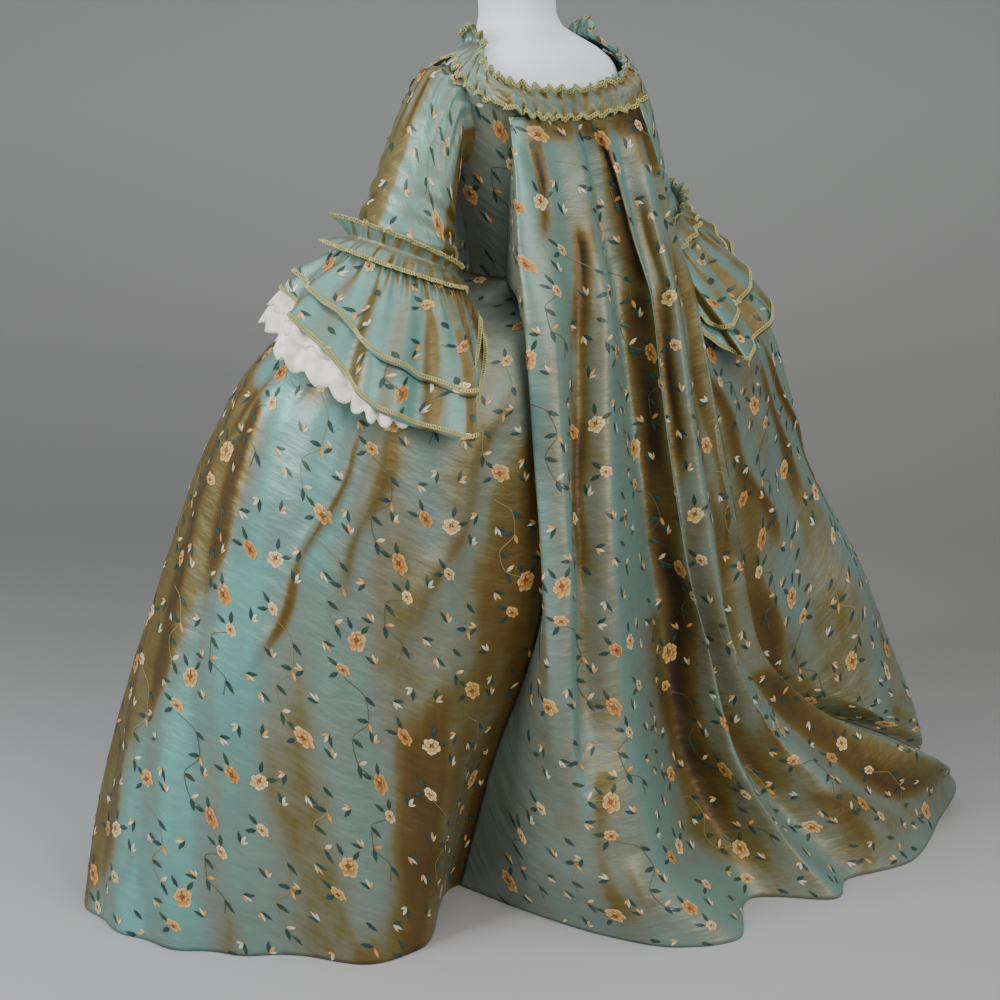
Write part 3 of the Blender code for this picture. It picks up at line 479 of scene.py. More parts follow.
def sack_seam(z, side):
    """Where the sack back is sewn down, on the bodice above the waist or to a side skirt."""
    if z > WAIST - 0.001:
        x = abs(column(SACK_X, 1 if side > 0 else len(SACK_COLUMNS), z))
        return np.array([side * x, torso_back(x, z, bodice_out(z)) + 0.0020, z])
    point = side_skirt(np.array([1.0]), z, side)[0][0]
    return point + np.array([-side * 2 * SEAM, 2 * SEAM, 0.0])


def sack(u, z):
    """Row of the sack back at height z; u counts the fold lines from 0, the left seam."""
    last = len(SACK_COLUMNS) - 1
    xs = [column(SACK_X, i + 1, z) for i in range(last + 1)]
    ys = [column(SACK_Y, i, z) for i in range(1, last)]
    left, right = sack_seam(z, 1), sack_seam(z, -1)
    xs[0], xs[last] = left[0], right[0]
    ys = [left[1]] + ys + [right[1]]
    lines = np.arange(last + 1)
    return np.stack([smooth(lines, xs, u), smooth(lines, ys, u), np.full_like(u, z)], -1)


def sleeve(turn, t, side, out=0.0):
    """Point of a sleeve: turn is degrees from its front over its outer side, t runs down it."""
    middle = np.array([column(SLEEVE, i, t) for i in (1, 2, 3)])
    puff = column(SLEEVE, 4, t)
    front = np.array(SLEEVE_FRONT[0]) * (1 - t) + np.array(SLEEVE_FRONT[1]) * t
    outer = np.array(SLEEVE_OUTER[0]) * (1 - t) + np.array(SLEEVE_OUTER[1]) * t
    angle = np.radians(turn)[..., None]
    arm = front * np.cos(angle) + outer * np.sin(angle)
    length = np.linalg.norm(arm, axis=-1, keepdims=True)
    gathers = HEAD_FOLD_RISE * ease(t / 0.08) * ease((0.5 - t) / 0.4) * np.cos(HEAD_FOLDS * 2 * angle)
    gathers = gathers * ease((np.sin(angle) + 0.3) / 0.8)
    point = middle + arm * (puff + (gathers + out) / length)
    if t < 0.001:
        point[..., 0] = torso_side(point[..., 1], point[..., 2], bodice_out(point[..., 2])) + 0.0013
    point = point * np.array([side, 1, 1])
    if side < 0:
        point[..., 0] += RIGHT_ARM_IN * ease(t)
    return point


def tier_step(reach):
    """How far apart two tiers of flounces hang."""
    return TIER_STEP[0] + TIER_STEP[1] * ease(reach * 2.5)


def flounce_sheet(turn, reach, side):
    """The outermost tier's sheet, and the way out of it; reach is 1 at the lower hem."""
    ring = sleeve(turn, 1.0, side)
    middle = sleeve(np.arange(0, 360, 15.0), 1.0, side).mean(axis=0)
    shift = RIGHT_HEM_IN if side < 0 else 0.0
    hem = np.stack([side * around(FLOUNCE, 1, turn) + shift, around(FLOUNCE, 2, turn),
                    around(FLOUNCE, 3, turn)], -1)
    away = ring - middle
    away /= np.linalg.norm(away, axis=-1, keepdims=True)
    down = hem - ring
    full = np.linalg.norm(down, axis=-1)
    bulge = 0.14 * full * np.sin(math.pi * np.clip(reach / 1.5, 0, 1))
    flutes = FLUTE_RISE * ease(reach * 1.3) * np.clip(full / 0.15, 0.1, 1)
    flutes = flutes * np.cos(FLUTES * np.radians(turn))
    points = ring + down * reach[..., None] + away * (bulge + flutes)[..., None]
    points[..., 2] -= 0.0007
    return points, away


def flounce(turn, t, side, length, tier):
    """Row of a flounce: t runs from its gathered edge to its hem; tier 1 and 2 lie inside 0."""
    start, end = FLOUNCE_TURNS
    taper = 0.2 + 0.8 * ease((turn - start) / 50) * ease((end - turn) / 45)
    reach = t * length * taper
    near = flounce_sheet(turn, reach, side)[0]
    along = flounce_sheet(turn + 2.0, reach, side)[0] - flounce_sheet(turn - 2.0, reach, side)[0]
    down = flounce_sheet(turn, reach + 0.08, side)[0] - near
    normal = np.cross(down, along) * side
    normal /= np.linalg.norm(normal, axis=-1, keepdims=True)
    return near - normal * (tier * tier_step(reach))[:, None], normal


# Colours and finishes. Every colour is an sRGB hex value, read through one function. The silk
# takes its tone, a painted light and shade, and thread and braid their colour, from attributes
# painted on each piece.
def linear(colour):
    """Linear light of an sRGB hex colour."""
    parts = [int(colour[i:i + 2], 16) / 255 for i in (0, 2, 4)]
    return [c / 12.92 if c <= 0.04045 else ((c + 0.055) / 1.055) ** 2.4 for c in parts]


def node(tree, kind, inputs=(), **settings):
    """A shader node with its settings, and its inputs either linked or set."""
    made = tree.nodes.new(kind)
    for key, value in settings.items():
        setattr(made, key, value)
    for key, value in dict(inputs).items():
        if isinstance(value, bpy.types.NodeSocket):
            tree.links.new(value, made.inputs[key])
        else:
            made.inputs[key].default_value = value
    return made


def finish_material(name, roughness, metallic=0.0, **sockets):
    """A new Principled material, its tree and its shader."""
    made = bpy.data.materials.new(name)
    made.use_nodes = True
    shader = made.node_tree.nodes["Principled BSDF"]
    shader.inputs["Roughness"].default_value = roughness
    shader.inputs["Metallic"].default_value = metallic
    for key, value in sockets.items():
        shader.inputs[key.replace("_", " ")].default_value = value
    return made, made.node_tree, shader


def ramp(tree, factor, stops):
    """A colour ramp of (place, hex) stops."""
    made = node(tree, "ShaderNodeValToRGB", {"Fac": factor})
    band = made.color_ramp
    while len(band.elements) < len(stops):
        band.elements.new(0.5)
    for element, (place, colour) in zip(band.elements, stops):
        element.position = place
        element.color = (*linear(colour), 1.0)
    return made.outputs["Color"]


def raised(tree, shader, height, strength, distance):
    """Relief on a finish, from a height."""
    made = node(tree, "ShaderNodeBump", {"Height": height, "Strength": strength, "Distance": distance})
    tree.links.new(made.outputs["Normal"], shader.inputs["Normal"])


def stretched_noise(tree, vector, across, down, detail=3.0):
    """Noise with its own scale per metre across the cloth and down it."""
    mapped = node(tree, "ShaderNodeMapping", {"Vector": vector, "Scale": (across, down, 1.0)})
    made = node(tree, "ShaderNodeTexNoise",
                {"Vector": mapped.outputs["Vector"], "Scale": 1.0, "Detail": detail})
    return made.outputs["Fac"]


def maths(tree, operation, a, b):
    """One arithmetic node."""
    return node(tree, "ShaderNodeMath", {0: a, 1: b}, operation=operation).outputs["Value"]


def swayed(tree, value, noise, gain):
    """A value moved up and down by noise round its middle."""
    off = maths(tree, "MULTIPLY", maths(tree, "SUBTRACT", noise, 0.5), gain)
    return maths(tree, "ADD", value, off)


def shot_silk():
    """Taffeta with a teal weft over a brown warp: the tone attribute, painted light and shade, says which
    shows.
    """
    made, tree, shader = finish_material("shot silk taffeta", 0.46, 0.34, Anisotropic=0.25,
                                         Sheen_Weight=0.05, Sheen_Roughness=0.4)
    place = node(tree, "ShaderNodeUVMap", uv_map="cloth").outputs["UV"]
    # the tone attribute is painted light and shade: teal where the light falls, brown in shade
    tone = node(tree, "ShaderNodeAttribute", attribute_name="tone").outputs["Fac"]
    patches = stretched_noise(tree, place, 24.0, 12.0, 7.0)
    streaks = stretched_noise(tree, place, 16.0, 130.0, 3.0)
    tone = swayed(tree, swayed(tree, tone, patches, 0.30), streaks, 0.10)
    tree.links.new(ramp(tree, tone, SILK_COLOURS), shader.inputs["Base Color"])
    slubs = stretched_noise(tree, place, 60.0, 1400.0, 2.0)
    crumple = stretched_noise(tree, place, 15.0, 34.0, 4.0)
    fine = node(tree, "ShaderNodeBump", {"Height": slubs, "Strength": 0.22, "Distance": 0.0006})
    soft = node(tree, "ShaderNodeBump", {"Height": crumple, "Strength": 0.7, "Distance": 0.0055,
                                         "Normal": fine.outputs["Normal"]})
    tree.links.new(soft.outputs["Normal"], shader.inputs["Normal"])
    return made


def thread_material(name, roughness, sheen):
    """Thread or lace that takes its colour from the piece's own attribute."""
    made, tree, shader = finish_material(name, roughness, Sheen_Weight=sheen)
    colour = node(tree, "ShaderNodeAttribute", attribute_name="thread").outputs["Color"]
    place = node(tree, "ShaderNodeTexCoord").outputs["Object"]
    strands = node(tree, "ShaderNodeTexNoise", {"Vector": place, "Scale": 1400.0, "Detail": 2.0})
    shade = node(tree, "ShaderNodeMixRGB", {"Fac": 0.35, "Color1": colour,
                                            "Color2": strands.outputs["Fac"]}, blend_type="MULTIPLY")
    tree.links.new(shade.outputs["Color"], shader.inputs["Base Color"])
    raised(tree, shader, strands.outputs["Fac"], 0.4, 0.0004)
    return made


def cotton_lace():
    """White lace: a fine net with denser sprigs, worked in its own flat measure."""
    made, tree, shader = finish_material("white cotton lace", 0.8, Sheen_Weight=0.2)
    place = node(tree, "ShaderNodeUVMap", uv_map="cloth").outputs["UV"]
    net = node(tree, "ShaderNodeTexVoronoi", {"Vector": place, "Scale": 520.0},
               feature="DISTANCE_TO_EDGE").outputs["Distance"]
    sprigs = node(tree, "ShaderNodeTexVoronoi", {"Vector": place, "Scale": 75.0},
                  feature="SMOOTH_F1").outputs["Distance"]
    colour = ramp(tree, maths(tree, "ADD", maths(tree, "MULTIPLY", net, -0.5), sprigs),
                  ((0.0, "FAF8F2"), (0.35, "F4F1E8"), (0.6, "DEDACD")))
    tree.links.new(colour, shader.inputs["Base Color"])
    raised(tree, shader, net, 0.5, 0.0006)
    return made


def mottled(name, colours, scale, roughness, metallic=0.0, bump=0.2):
    """A plain finish with slight variation in its colour and a fine grain."""
    made, tree, shader = finish_material(name, roughness, metallic)
    place = node(tree, "ShaderNodeTexCoord").outputs["Object"]
    cloud = node(tree, "ShaderNodeTexNoise", {"Vector": place, "Scale": scale, "Detail": 4.0})
    tree.links.new(ramp(tree, cloud.outputs["Fac"], ((0.3, colours[0]), (0.7, colours[1]))),
                   shader.inputs["Base Color"])
    grain = node(tree, "ShaderNodeTexNoise", {"Vector": place, "Scale": scale * 60, "Detail": 2.0})
    raised(tree, shader, grain.outputs["Fac"], bump, 0.0005)
    return made


silk = shot_silk()
lace = cotton_lace()
embroidery = thread_material("silk embroidery thread", 0.42, 0.1)
gimp = thread_material("silk gimp braid", 0.5, 0.15)
jersey = mottled("white cotton jersey", ("DCE4EE", "E8EDF4"), 14.0, 0.85)
steel = mottled("dark painted steel", ("2E2F31", "3A3B3D"), 30.0, 0.45, 0.5)


# Cloth grids. A grid has rows from the top down, its flat measure (x across, y down, in
# metres) and its outward normals, so that anything can be laid on it by flat place.
def lengths(points, axis):
    """Running length along one axis of a grid."""
    step = np.linalg.norm(np.diff(points, axis=axis), axis=-1)
    zero = np.zeros_like(np.take(step, [0], axis=axis))
    return np.cumsum(np.concatenate([zero, step], axis=axis), axis=axis)


def grid_normals(points):
    """Outward normals; the sign is set by the caller's flip."""
    down = np.gradient(points, axis=0)
    across = np.gradient(points, axis=1)
    normal = np.cross(across, down)
    return normal / np.maximum(np.linalg.norm(normal, axis=-1, keepdims=True), 1e-12)


def blurred(values, reach_rows, reach_columns):
    """Box average over a window of rows and columns, edges repeated."""
    for axis, reach in ((0, reach_rows), (1, reach_columns)):
        if reach > 0:
            pad = [(0, 0)] * values.ndim
            pad[axis] = (reach, reach)
            run = np.cumsum(np.pad(values, pad, mode="edge"), axis=axis)
            first = np.zeros_like(np.take(run, [0], axis=axis))
            run = np.concatenate([first, run], axis=axis)
            size = values.shape[axis]
            high = np.take(run, np.arange(size) + 2 * reach + 1, axis=axis)
            values = (high - np.take(run, np.arange(size), axis=axis)) / (2 * reach + 1)
    return values


def fold_light_and_shade(cloth, window, gain):
    """Painted light and shade of the folds: how far each fold turns sideways from the cloth's mean fall,
    brown shade one way and lighter the other.
    """
    mean = blurred(cloth["normal"], cloth["points"].shape[0] // 16, window)
    mean /= np.linalg.norm(mean, axis=-1, keepdims=True)
    turn = cloth["normal"][..., 0] * mean[..., 1] - cloth["normal"][..., 1] * mean[..., 0]
    return gain * turn


def make_cloth(rows, flip=False, scale=1.0):
    """A grid with its flat measure and normals."""
    points = np.asarray(rows, float)
    across, down = lengths(points, 1), lengths(points, 0)
    middle = points.shape[1] // 2
    across = (across - across[:, middle:middle + 1]) * scale
    normal = grid_normals(points) * (-1.0 if flip else 1.0)
    return {"points": points, "x": across, "y": down, "normal": normal,
            "tone": np.full(points.shape[:2], 0.42), "flip": flip}


def grid_object(name, cloth, finish, thick, node_name):
    """The cloth as a thin shell, riding on the body and standing for its CAD solid."""
    points = cloth["points"]
    count, across = points.shape[:2]
    index = np.arange(count * across).reshape(count, across)
    quads = np.stack([index[:-1, :-1], index[:-1, 1:], index[1:, 1:], index[1:, :-1]], -1).reshape(-1, 4)
    if cloth["flip"]:
        quads = quads[:, ::-1]
    mesh = bpy.data.meshes.new(name)
    mesh.from_pydata(points.reshape(-1, 3).tolist(), [], quads.tolist())
    mesh.materials.append(finish)
    mesh.shade_smooth()
    where = np.stack([cloth["x"], -cloth["y"]], -1).reshape(-1, 2)
    corners = np.empty(len(mesh.loops), np.int32)
    mesh.loops.foreach_get("vertex_index", corners)
    mesh.uv_layers.new(name="cloth").data.foreach_set("uv", where[corners].ravel())
    # tone: the painted light and shade that the silk reads
    tone = mesh.attributes.new("tone", "FLOAT", "POINT")
    tone.data.foreach_set("value", np.clip(cloth["tone"], 0.0, 1.0).ravel().astype(np.float32))
    made = bpy.data.objects.new(name, mesh)
    bpy.context.scene.collection.objects.link(made)
    if thick:
        shell = made.modifiers.new("thickness", "SOLIDIFY")
        shell.thickness = thick
        shell.offset = -1
    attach(made, "root")
    if node_name:
        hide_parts(node_name)
    return made


def interpolate(values, row, col):
    """Reads a grid at fractional rows and columns."""
    i = np.clip(row.astype(int), 0, values.shape[0] - 2)
    j = np.clip(col.astype(int), 0, values.shape[1] - 2)
    s, t = row - i, col - j
    if values.ndim == 3:
        s, t = s[:, None], t[:, None]
    return ((1 - s) * ((1 - t) * values[i, j] + t * values[i, j + 1])
            + s * ((1 - t) * values[i + 1, j] + t * values[i + 1, j + 1]))


def find(cloth, x, y):
    """Fractional row and column of flat places, and whether they lie on the cloth."""
    rows, cols = cloth["x"].shape
    row = np.full(len(x), rows / 2.0)
    col = np.full(len(x), cols / 2.0)
    for _ in range(14):
        at_x, at_y = interpolate(cloth["x"], row, col), interpolate(cloth["y"], row, col)
        down = np.clip(row + 0.5, 0.5, rows - 1.0)
        right = np.clip(col + 0.5, 0.5, cols - 1.0)
        x_c = interpolate(cloth["x"], row, right) - interpolate(cloth["x"], row, right - 0.5)
        y_r = interpolate(cloth["y"], down, col) - interpolate(cloth["y"], down - 0.5, col)
        col = np.clip(col + np.clip((x - at_x) / np.maximum(x_c * 2, 1e-6), -40, 40), 0, cols - 1.001)
        row = np.clip(row + np.clip((y - at_y) / np.maximum(y_r * 2, 1e-6), -40, 40), 0, rows - 1.001)
    at_x, at_y = interpolate(cloth["x"], row, col), interpolate(cloth["y"], row, col)
    return row, col, (np.abs(at_x - x) < 0.002) & (np.abs(at_y - y) < 0.002)


# The form. A finer torso with the neck stands for the CAD's, and the pole and foot keep
# their CAD shapes with a painted finish.
def build_torso():
    """Torso and neck as one closed body of rings."""
    turns = np.arange(0, 360, 5.0)
    heights = np.concatenate([np.linspace(0.860, 1.200, 30), np.linspace(1.212, 1.395, 22)])
    rings = [torso(-turns, z, 0.0)[::-1] for z in heights]
    for z in np.linspace(NECK[0][0], NECK[-1][0], 16):
        angle = np.radians(-turns[::-1])
        radius, shift = column(NECK, 1, z), column(NECK, 2, z)
        rings.append(np.stack([radius * np.sin(angle), -radius * np.cos(angle) - shift,
                               np.full_like(angle, z)], -1))
    rings = np.asarray(rings)
    count, size = rings.shape[:2]
    faces = [tuple(range(size))[::-1]]
    for r in range(count - 1):
        for c in range(size):
            d = (c + 1) % size
            faces.append((r * size + c, r * size + d, (r + 1) * size + d, (r + 1) * size + c))
    faces.append(tuple(range((count - 1) * size, count * size)))
    mesh = bpy.data.meshes.new("form_jersey")
    mesh.from_pydata(rings.reshape(-1, 3).tolist(), [], faces)
    mesh.materials.append(jersey)
    mesh.shade_smooth()
    mesh.set_sharp_from_angle(angle=math.radians(50))
    made = bpy.data.objects.new("form_jersey", mesh)
    bpy.context.scene.collection.objects.link(made)
    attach(made, "root")
    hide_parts("form_torso")


build_torso()
for name in ("form_pole", "form_foot"):
    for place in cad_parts[name].material_slots:
        place.material = steel


# Skirts. The two side skirts and the petticoat hang from the waist, and the sack back falls
# from its pleats at the neck into the train. Narrow creases are raised on the CAD's folds, and
# the side of each that turns from the light is painted brown as shade.
def waist_row(angle, sign, out):
    """The bodice's lower edge, moved out, at these angles round from the front."""
    ring = torso(np.linspace(0, 180, 181), WAIST_JOIN, bodice_out(WAIST_JOIN) + out)
    places = np.arctan2(ring[:, 0], -ring[:, 1])
    return np.stack([sign * np.interp(angle, places, ring[:, 0]),
                     np.interp(angle, places, ring[:, 1]), np.full_like(angle, WAIST_JOIN)], -1)


def skirt_grid(side):
    """A side skirt on a fine grid, its creases raised and its light and shade painted into its tone."""
    u = np.linspace(0, 1, 170)
    heights = np.concatenate([np.linspace(1.018, 0.94, 22), np.linspace(0.932, HEM, 118)])
    rows, tones = [], []
    row = side_skirt(u, heights[0], side)[0]
    join = waist_row(np.arctan2(side * row[:, 0], -row[:, 1]), side, SKIRT_OVER)
    for share in (0.0, 0.5):
        rows.append(join * (1 - share) + row * share)
        tones.append(np.full_like(u, 0.55))
    for z in heights:
        row, turn = side_skirt(u, z, side)
        edge = smooth([z_at for z_at, _ in SHADE_FRONT], [t for _, t in SHADE_FRONT], z)
        back = smooth([z_at for z_at, _ in SHADE_BACK], [t for _, t in SHADE_BACK], z)
        painted_shade = crease_rise(turn, z)[1]
        # painted light and shade: a teal highlight band inside the lit side, brown shade past the front
        # and back edges, and brown shade in the creases
        painted_highlight = np.exp(-((turn - edge - 13) / 13) ** 2)
        shade = SKIRT_GREY - SKIRT_PAINTED_HIGHLIGHT * painted_highlight + SKIRT_PAINTED_SHADE_FRONT * ease((edge - turn + 4) / 7)
        shade = shade + SKIRT_PAINTED_SHADE_BACK * ease((turn - back + 3) / 7)
        crease_shade_share = np.clip(painted_shade / 0.30, 0, 1)
        tones.append(shade * (1 - crease_shade_share) + CREASE_PAINTED_SHADE * crease_shade_share)
        rows.append(row)
    cloth = make_cloth(rows, flip=side > 0)
    # painted light and shade of the folds, added on top
    cloth["tone"] = np.array(tones) + np.clip(fold_light_and_shade(cloth, 16, 0.6), -0.10, 0.11)
    return cloth


def sack_grid():
    """The sack back on a fine grid, its creases raised and its light and shade painted into its tone."""
    last = len(SACK_COLUMNS) - 1
    u = np.linspace(0, last, 231)
    heights = np.concatenate([np.linspace(1.290, 1.05, 40), np.linspace(1.04, 0.30, 74),
                              np.linspace(0.29, HEM, 52)])
    rows = np.array([sack(u, z) for z in heights])
    cloth = make_cloth(rows, flip=True)
    rise, painted_shade = np.zeros(rows.shape[:2]), np.zeros(rows.shape[:2])
    for top, low, at_top, at_low, wide, depth, tone in SACK_CREASES:
        z = heights[:, None]
        ends = ease((top - z) / 0.05) * ease((z - low) / 0.10)
        share = np.clip((top - z) / (top - low), 0, 1)
        line = at_top + (at_low - at_top) * share + 0.08 * np.sin(z * 27 + at_top * 5)
        off = (u[None, :] - line) / wide
        rise = rise + depth * ends * np.exp(-np.abs(off) ** 1.5)
        # painted shade, in brown, on the side of each crease turned from the light
        painted_shade = painted_shade + tone * ends * np.exp(-((off - 0.3) / 0.55) ** 2)
    seam = ease(np.minimum(u, last - u) / 0.8)[None, :]
    hem = ease((heights - HEM) / 0.03)[:, None]
    points = rows + cloth["normal"] * (rise * seam)[..., None] * np.maximum(hem, 0.2)[..., None]
    points[..., 2] = np.maximum(np.minimum(points[..., 2], rows[..., 2] + 0.004), HEM)
    made = make_cloth(points, flip=True)
    # a darker tone across the top of the pleats, right of the first fold line
    darker_top = 0.32 * ease((heights - 1.235) / 0.03)[:, None] * ease((u - 1.2) / 0.8)[None, :]
    # painted shade bands, in brown, along the folds of the back
    shade_bands = np.zeros(rows.shape[:2])
    for top, low, at_top, at_low, wide, tone in SACK_SHADE_BANDS:
        z = heights[:, None]
        ends = ease((top - z) / 0.04) * ease((z - low) / 0.06)
        line = at_top + (at_low - at_top) * np.clip((top - z) / (top - low), 0, 1)
        line = line + 0.10 * np.sin(z * 22 + at_low * 3)
        shade_bands = np.maximum(shade_bands, tone * ends * np.exp(-((u[None, :] - line) / wide) ** 2))
    # the back's tone: painted shade in brown along creases and bands, and painted light and shade of the
    # folds
    made["tone"] = 0.44 + darker_top + 0.5 * painted_shade + shade_bands + np.clip(fold_light_and_shade(made, 22, 0.40), -0.12, 0.10)
    # painted light: the upper flats away from the shade bands are made lighter
    made["tone"] = made["tone"] - 0.08 * ease((heights - 1.13) / 0.05)[:, None] * (shade_bands < 0.05)
    return made


left_skirt = skirt_grid(1)
right_skirt = skirt_grid(-1)
back_cloth = sack_grid()
for cloth, word in ((left_skirt, "left"), (right_skirt, "right")):
    made = grid_object("side_skirt_" + word, cloth, silk, CLOTH, "robe_skirt_" + word)
made = grid_object("sack_back_pleats", back_cloth, silk, CLOTH, "sack_back")


def petticoat_grid(start, end):
    """A petticoat panel, its top drawn in under the bodice's lower edge."""
    turns = np.linspace(start, end, 90)
    rows = []
    if end < 180:
        rows.append(waist_row(np.abs(np.radians(turns)), np.sign(turns), PETTICOAT_OVER))
    for z in np.concatenate([np.linspace(1.003, 0.93, 16), np.linspace(0.92, PETTICOAT_HEM, 54)]):
        half, reach = column(PETTICOAT, 1, z), column(PETTICOAT, 2, z)
        shift = -0.13 * (1 - z / WAIST)
        front = max(ROBE_FRONT * half - 0.012, 0.1235)
        folds = 0.004 * ease((0.99 - z) / 0.1) * np.cos(np.radians(turns) * 22 + 1.5 * np.sin(z * 4))
        folds = folds * (np.abs(np.cos(np.radians(turns))) > 0.17)
        angle = np.radians(turns)
        deep = np.where(np.cos(angle) > 0, front, reach - shift) - 0.004 + folds
        parted = 0.0008 if end > 180 else -0.0008
        rows.append(np.stack([half * np.sin(angle), shift - deep * np.cos(angle) + parted,
                              np.full_like(angle, z)], -1))
    cloth = make_cloth(rows, flip=True)
    # painted light and shade of the folds
    cloth["tone"] = 0.42 + np.clip(fold_light_and_shade(cloth, 8, 1.2), -0.12, 0.3)
    return cloth


petticoat_front_cloth = petticoat_grid(-90, 90)
petticoat_back_cloth = petticoat_grid(90, 270)
for name, cloth in (("petticoat_front", petticoat_front_cloth), ("petticoat_back", petticoat_back_cloth)):
    made = grid_object(name + "_panel", cloth, silk, CLOTH, name)


# Bodice. The fronts, the backs and the stomacher lie smoothly on the form, from the neckline
# to the waist. The faces inside the armholes are taken out.
def panel_object(name, rows, node_name, flip):
    """A bodice panel, open where the armhole is."""
    cloth = make_cloth(rows, flip=flip)
    # painted light and shade of the folds
    cloth["tone"] = 0.5 + np.clip(fold_light_and_shade(cloth, 4, 2.0), -0.1, 0.2)
    made = grid_object(name, cloth, silk, CLOTH, node_name)
    mesh = made.data
    middle, wide, tall = ARMHOLE
    drop = [face.index for face in mesh.polygons if abs(face.center[0]) >= 0.09
            and (face.center[1] / wide) ** 2 + ((face.center[2] - middle) / tall) ** 2 <= 1.0]
    if drop:
        opened = bmesh.new()
        opened.from_mesh(mesh)
        opened.faces.ensure_lookup_table()
        bmesh.ops.delete(opened, geom=[opened.faces[i] for i in drop], context="FACES")
        opened.to_mesh(mesh)
        opened.free()
    return cloth


def torso_rows(turns, heights):
    """Points of the bodice's outer face at these turns, each at its own height."""
    return np.array([torso(np.array(t), h, bodice_out(h)) for t, h in zip(turns, heights)])


bodice_cloths = []
for side, word in ((1, "left"), (-1, "right")):
    mirror = np.array([side, 1, 1])
    rows = []
    for z in np.linspace(1.36, BODICE_ROWS[0], 60):
        turns = np.linspace(column(FRONT_EDGE, 1, z), 90 - SIDE_SEAM, 36)
        rows.append(torso_rows(turns, np.minimum(z, column(NECKLINE, 1, turns))) * mirror)
    bodice_cloths.append(panel_object("bodice_front_%s_panel" % word, rows,
                                      "bodice_front_" + word, side > 0))
    rows = []
    for v in np.linspace(1, 0, 56):
        turns = np.linspace(90 + SIDE_SEAM, 180 - SIDE_SEAM, 44)
        height = BODICE_ROWS[0] + v * (column(NECKLINE, 1, turns) - BODICE_ROWS[0])
        rows.append(torso_rows(turns, height) * mirror)
    bodice_cloths.append(panel_object("bodice_back_%s_panel" % word, rows,
                                      "bodice_back_" + word, side > 0))
rows = []
for z in np.linspace(BODICE_ROWS[STOMACHER_ROWS - 1], BODICE_ROWS[0], 40):
    edge = column(FRONT_EDGE, 1, z) - STOMACHER_IN
    rows.append(torso_rows(np.linspace(-edge, edge, 40), np.full(40, z)))
bodice_cloths.append(panel_object("stomacher_panel", rows, "stomacher", True))


# Sleeves. Each is a tube with a gathered head and soft wrinkles over the elbow. Two silk
# flounces hang from its foot, and two tiers of gathered lace hang under them.
def sleeve_grid(side):
    """A sleeve from its inner seam round, with soft cross wrinkles above the elbow."""
    turns = np.linspace(-90, 270, 97)
    rows = []
    for t in np.linspace(0, 1, 52):
        wrinkle = 0.0022 * ease((t - 0.35) / 0.3) * ease((0.95 - t) / 0.1)
        wrinkle = wrinkle * np.sin(t * 46 + 1.2 * np.sin(np.radians(turns * 2)) + side)
        pull = 0.0016 * ease(t / 0.06) * ease((0.45 - t) / 0.4) * np.cos(np.radians(turns * 7) + t * 2)
        rows.append(sleeve(turns, t, side, out=(wrinkle + pull * (t > 0.001))[:, None]))
    cloth = make_cloth(rows, flip=side > 0)
    # painted light and shade: teal on the side that takes the light, brown shade past a set angle from it,
    # greyer on the far side, and painted light and shade of the folds
    away = np.abs(((turns + 180 - SHADE_SLEEVE) % 360) - 180)
    shade = 0.32 + 0.36 * ease((away - SLEEVE_SHADE_FROM) / 9) - 0.16 * ease((away - 78) / 20)
    cloth["tone"] = shade[None, :] + np.clip(fold_light_and_shade(cloth, 8, 0.5), -0.10, 0.12)
    return cloth


def flounce_grid(side, index, tier, share, rows_count, waves=0.0, rise=0.0, inset=0.0, scallop=0.0):
    """A flounce on a fine grid, with its gathers at the top and its scallops at the hem."""
    start, end = FLOUNCE_TURNS
    turns = np.linspace(start, end, 261 if waves else 197)
    length = around(FLOUNCE, index, turns)
    rows = []
    for t in np.linspace(0, 1, rows_count):
        lobes = 1 - scallop * (1 - np.abs(np.sin(np.radians(turns) * 21))) * ease((t - 0.7) / 0.3)
        row, normal = flounce(turns, t * share * lobes, side, length, tier)
        gathers = 0.0030 * ease(t / 0.06) * (1 - ease(t / 0.60)) * np.cos(np.radians(turns) * 46)
        gathers = gathers + 0.0045 * ease(t / 0.7) * np.cos(np.radians(turns) * 19 + 2 * t)
        frill = rise * ease(t / 0.5) * np.cos(np.radians(turns) * waves)
        rows.append(row + normal * (gathers + frill - inset)[:, None])
    cloth = make_cloth(rows, flip=side > 0)
    # painted shade: browner away from the side that takes the light, with painted light and shade of the
    # folds
    away = np.abs(turns - SHADE_SLEEVE)
    shade = 0.38 + 0.14 * ease((away - FLOUNCE_SHADE_FROM) / 40)
    cloth["tone"] = shade[None, :] + np.clip(fold_light_and_shade(cloth, 9, 0.75), -0.18, 0.34)
    return cloth


flounce_cloths = {}
sleeve_cloths = []
for side, word in ((1, "left"), (-1, "right")):
    cloth = sleeve_grid(side)
    sleeve_cloths.append(cloth)
    made = grid_object("sleeve_%s_tube" % word, cloth, silk, CLOTH, "sleeve_" + word)
    for name, index, tier, share, count in (("upper", 4, 0, RIGHT_REACH[0], 26),
                                            ("lower", 5, 1, RIGHT_REACH[1], 34)):
        cloth = flounce_grid(side, index, tier, share if side < 0 else 1.0, count)
        flounce_cloths[name, word] = cloth
        made = grid_object("flounce_%s_%s_sheet" % (name, word), cloth, silk, TRIM,
                           "flounce_%s_%s" % (name, word))
    share = RIGHT_REACH[2] if side < 0 else 1.0
    for name, part_of, inset, count in (("lower", 1.0, 0.0, 26), ("upper", 0.80, -0.0022, 19)):
        cloth = flounce_grid(side, 6, 2, share * part_of, count, 38.0, 0.0045, inset, 0.06)
        made = grid_object("lace_%s_%s" % (name, word), cloth, lace, LACE_THICK,
                           "sleeve_lace_" + word if name == "lower" else None)


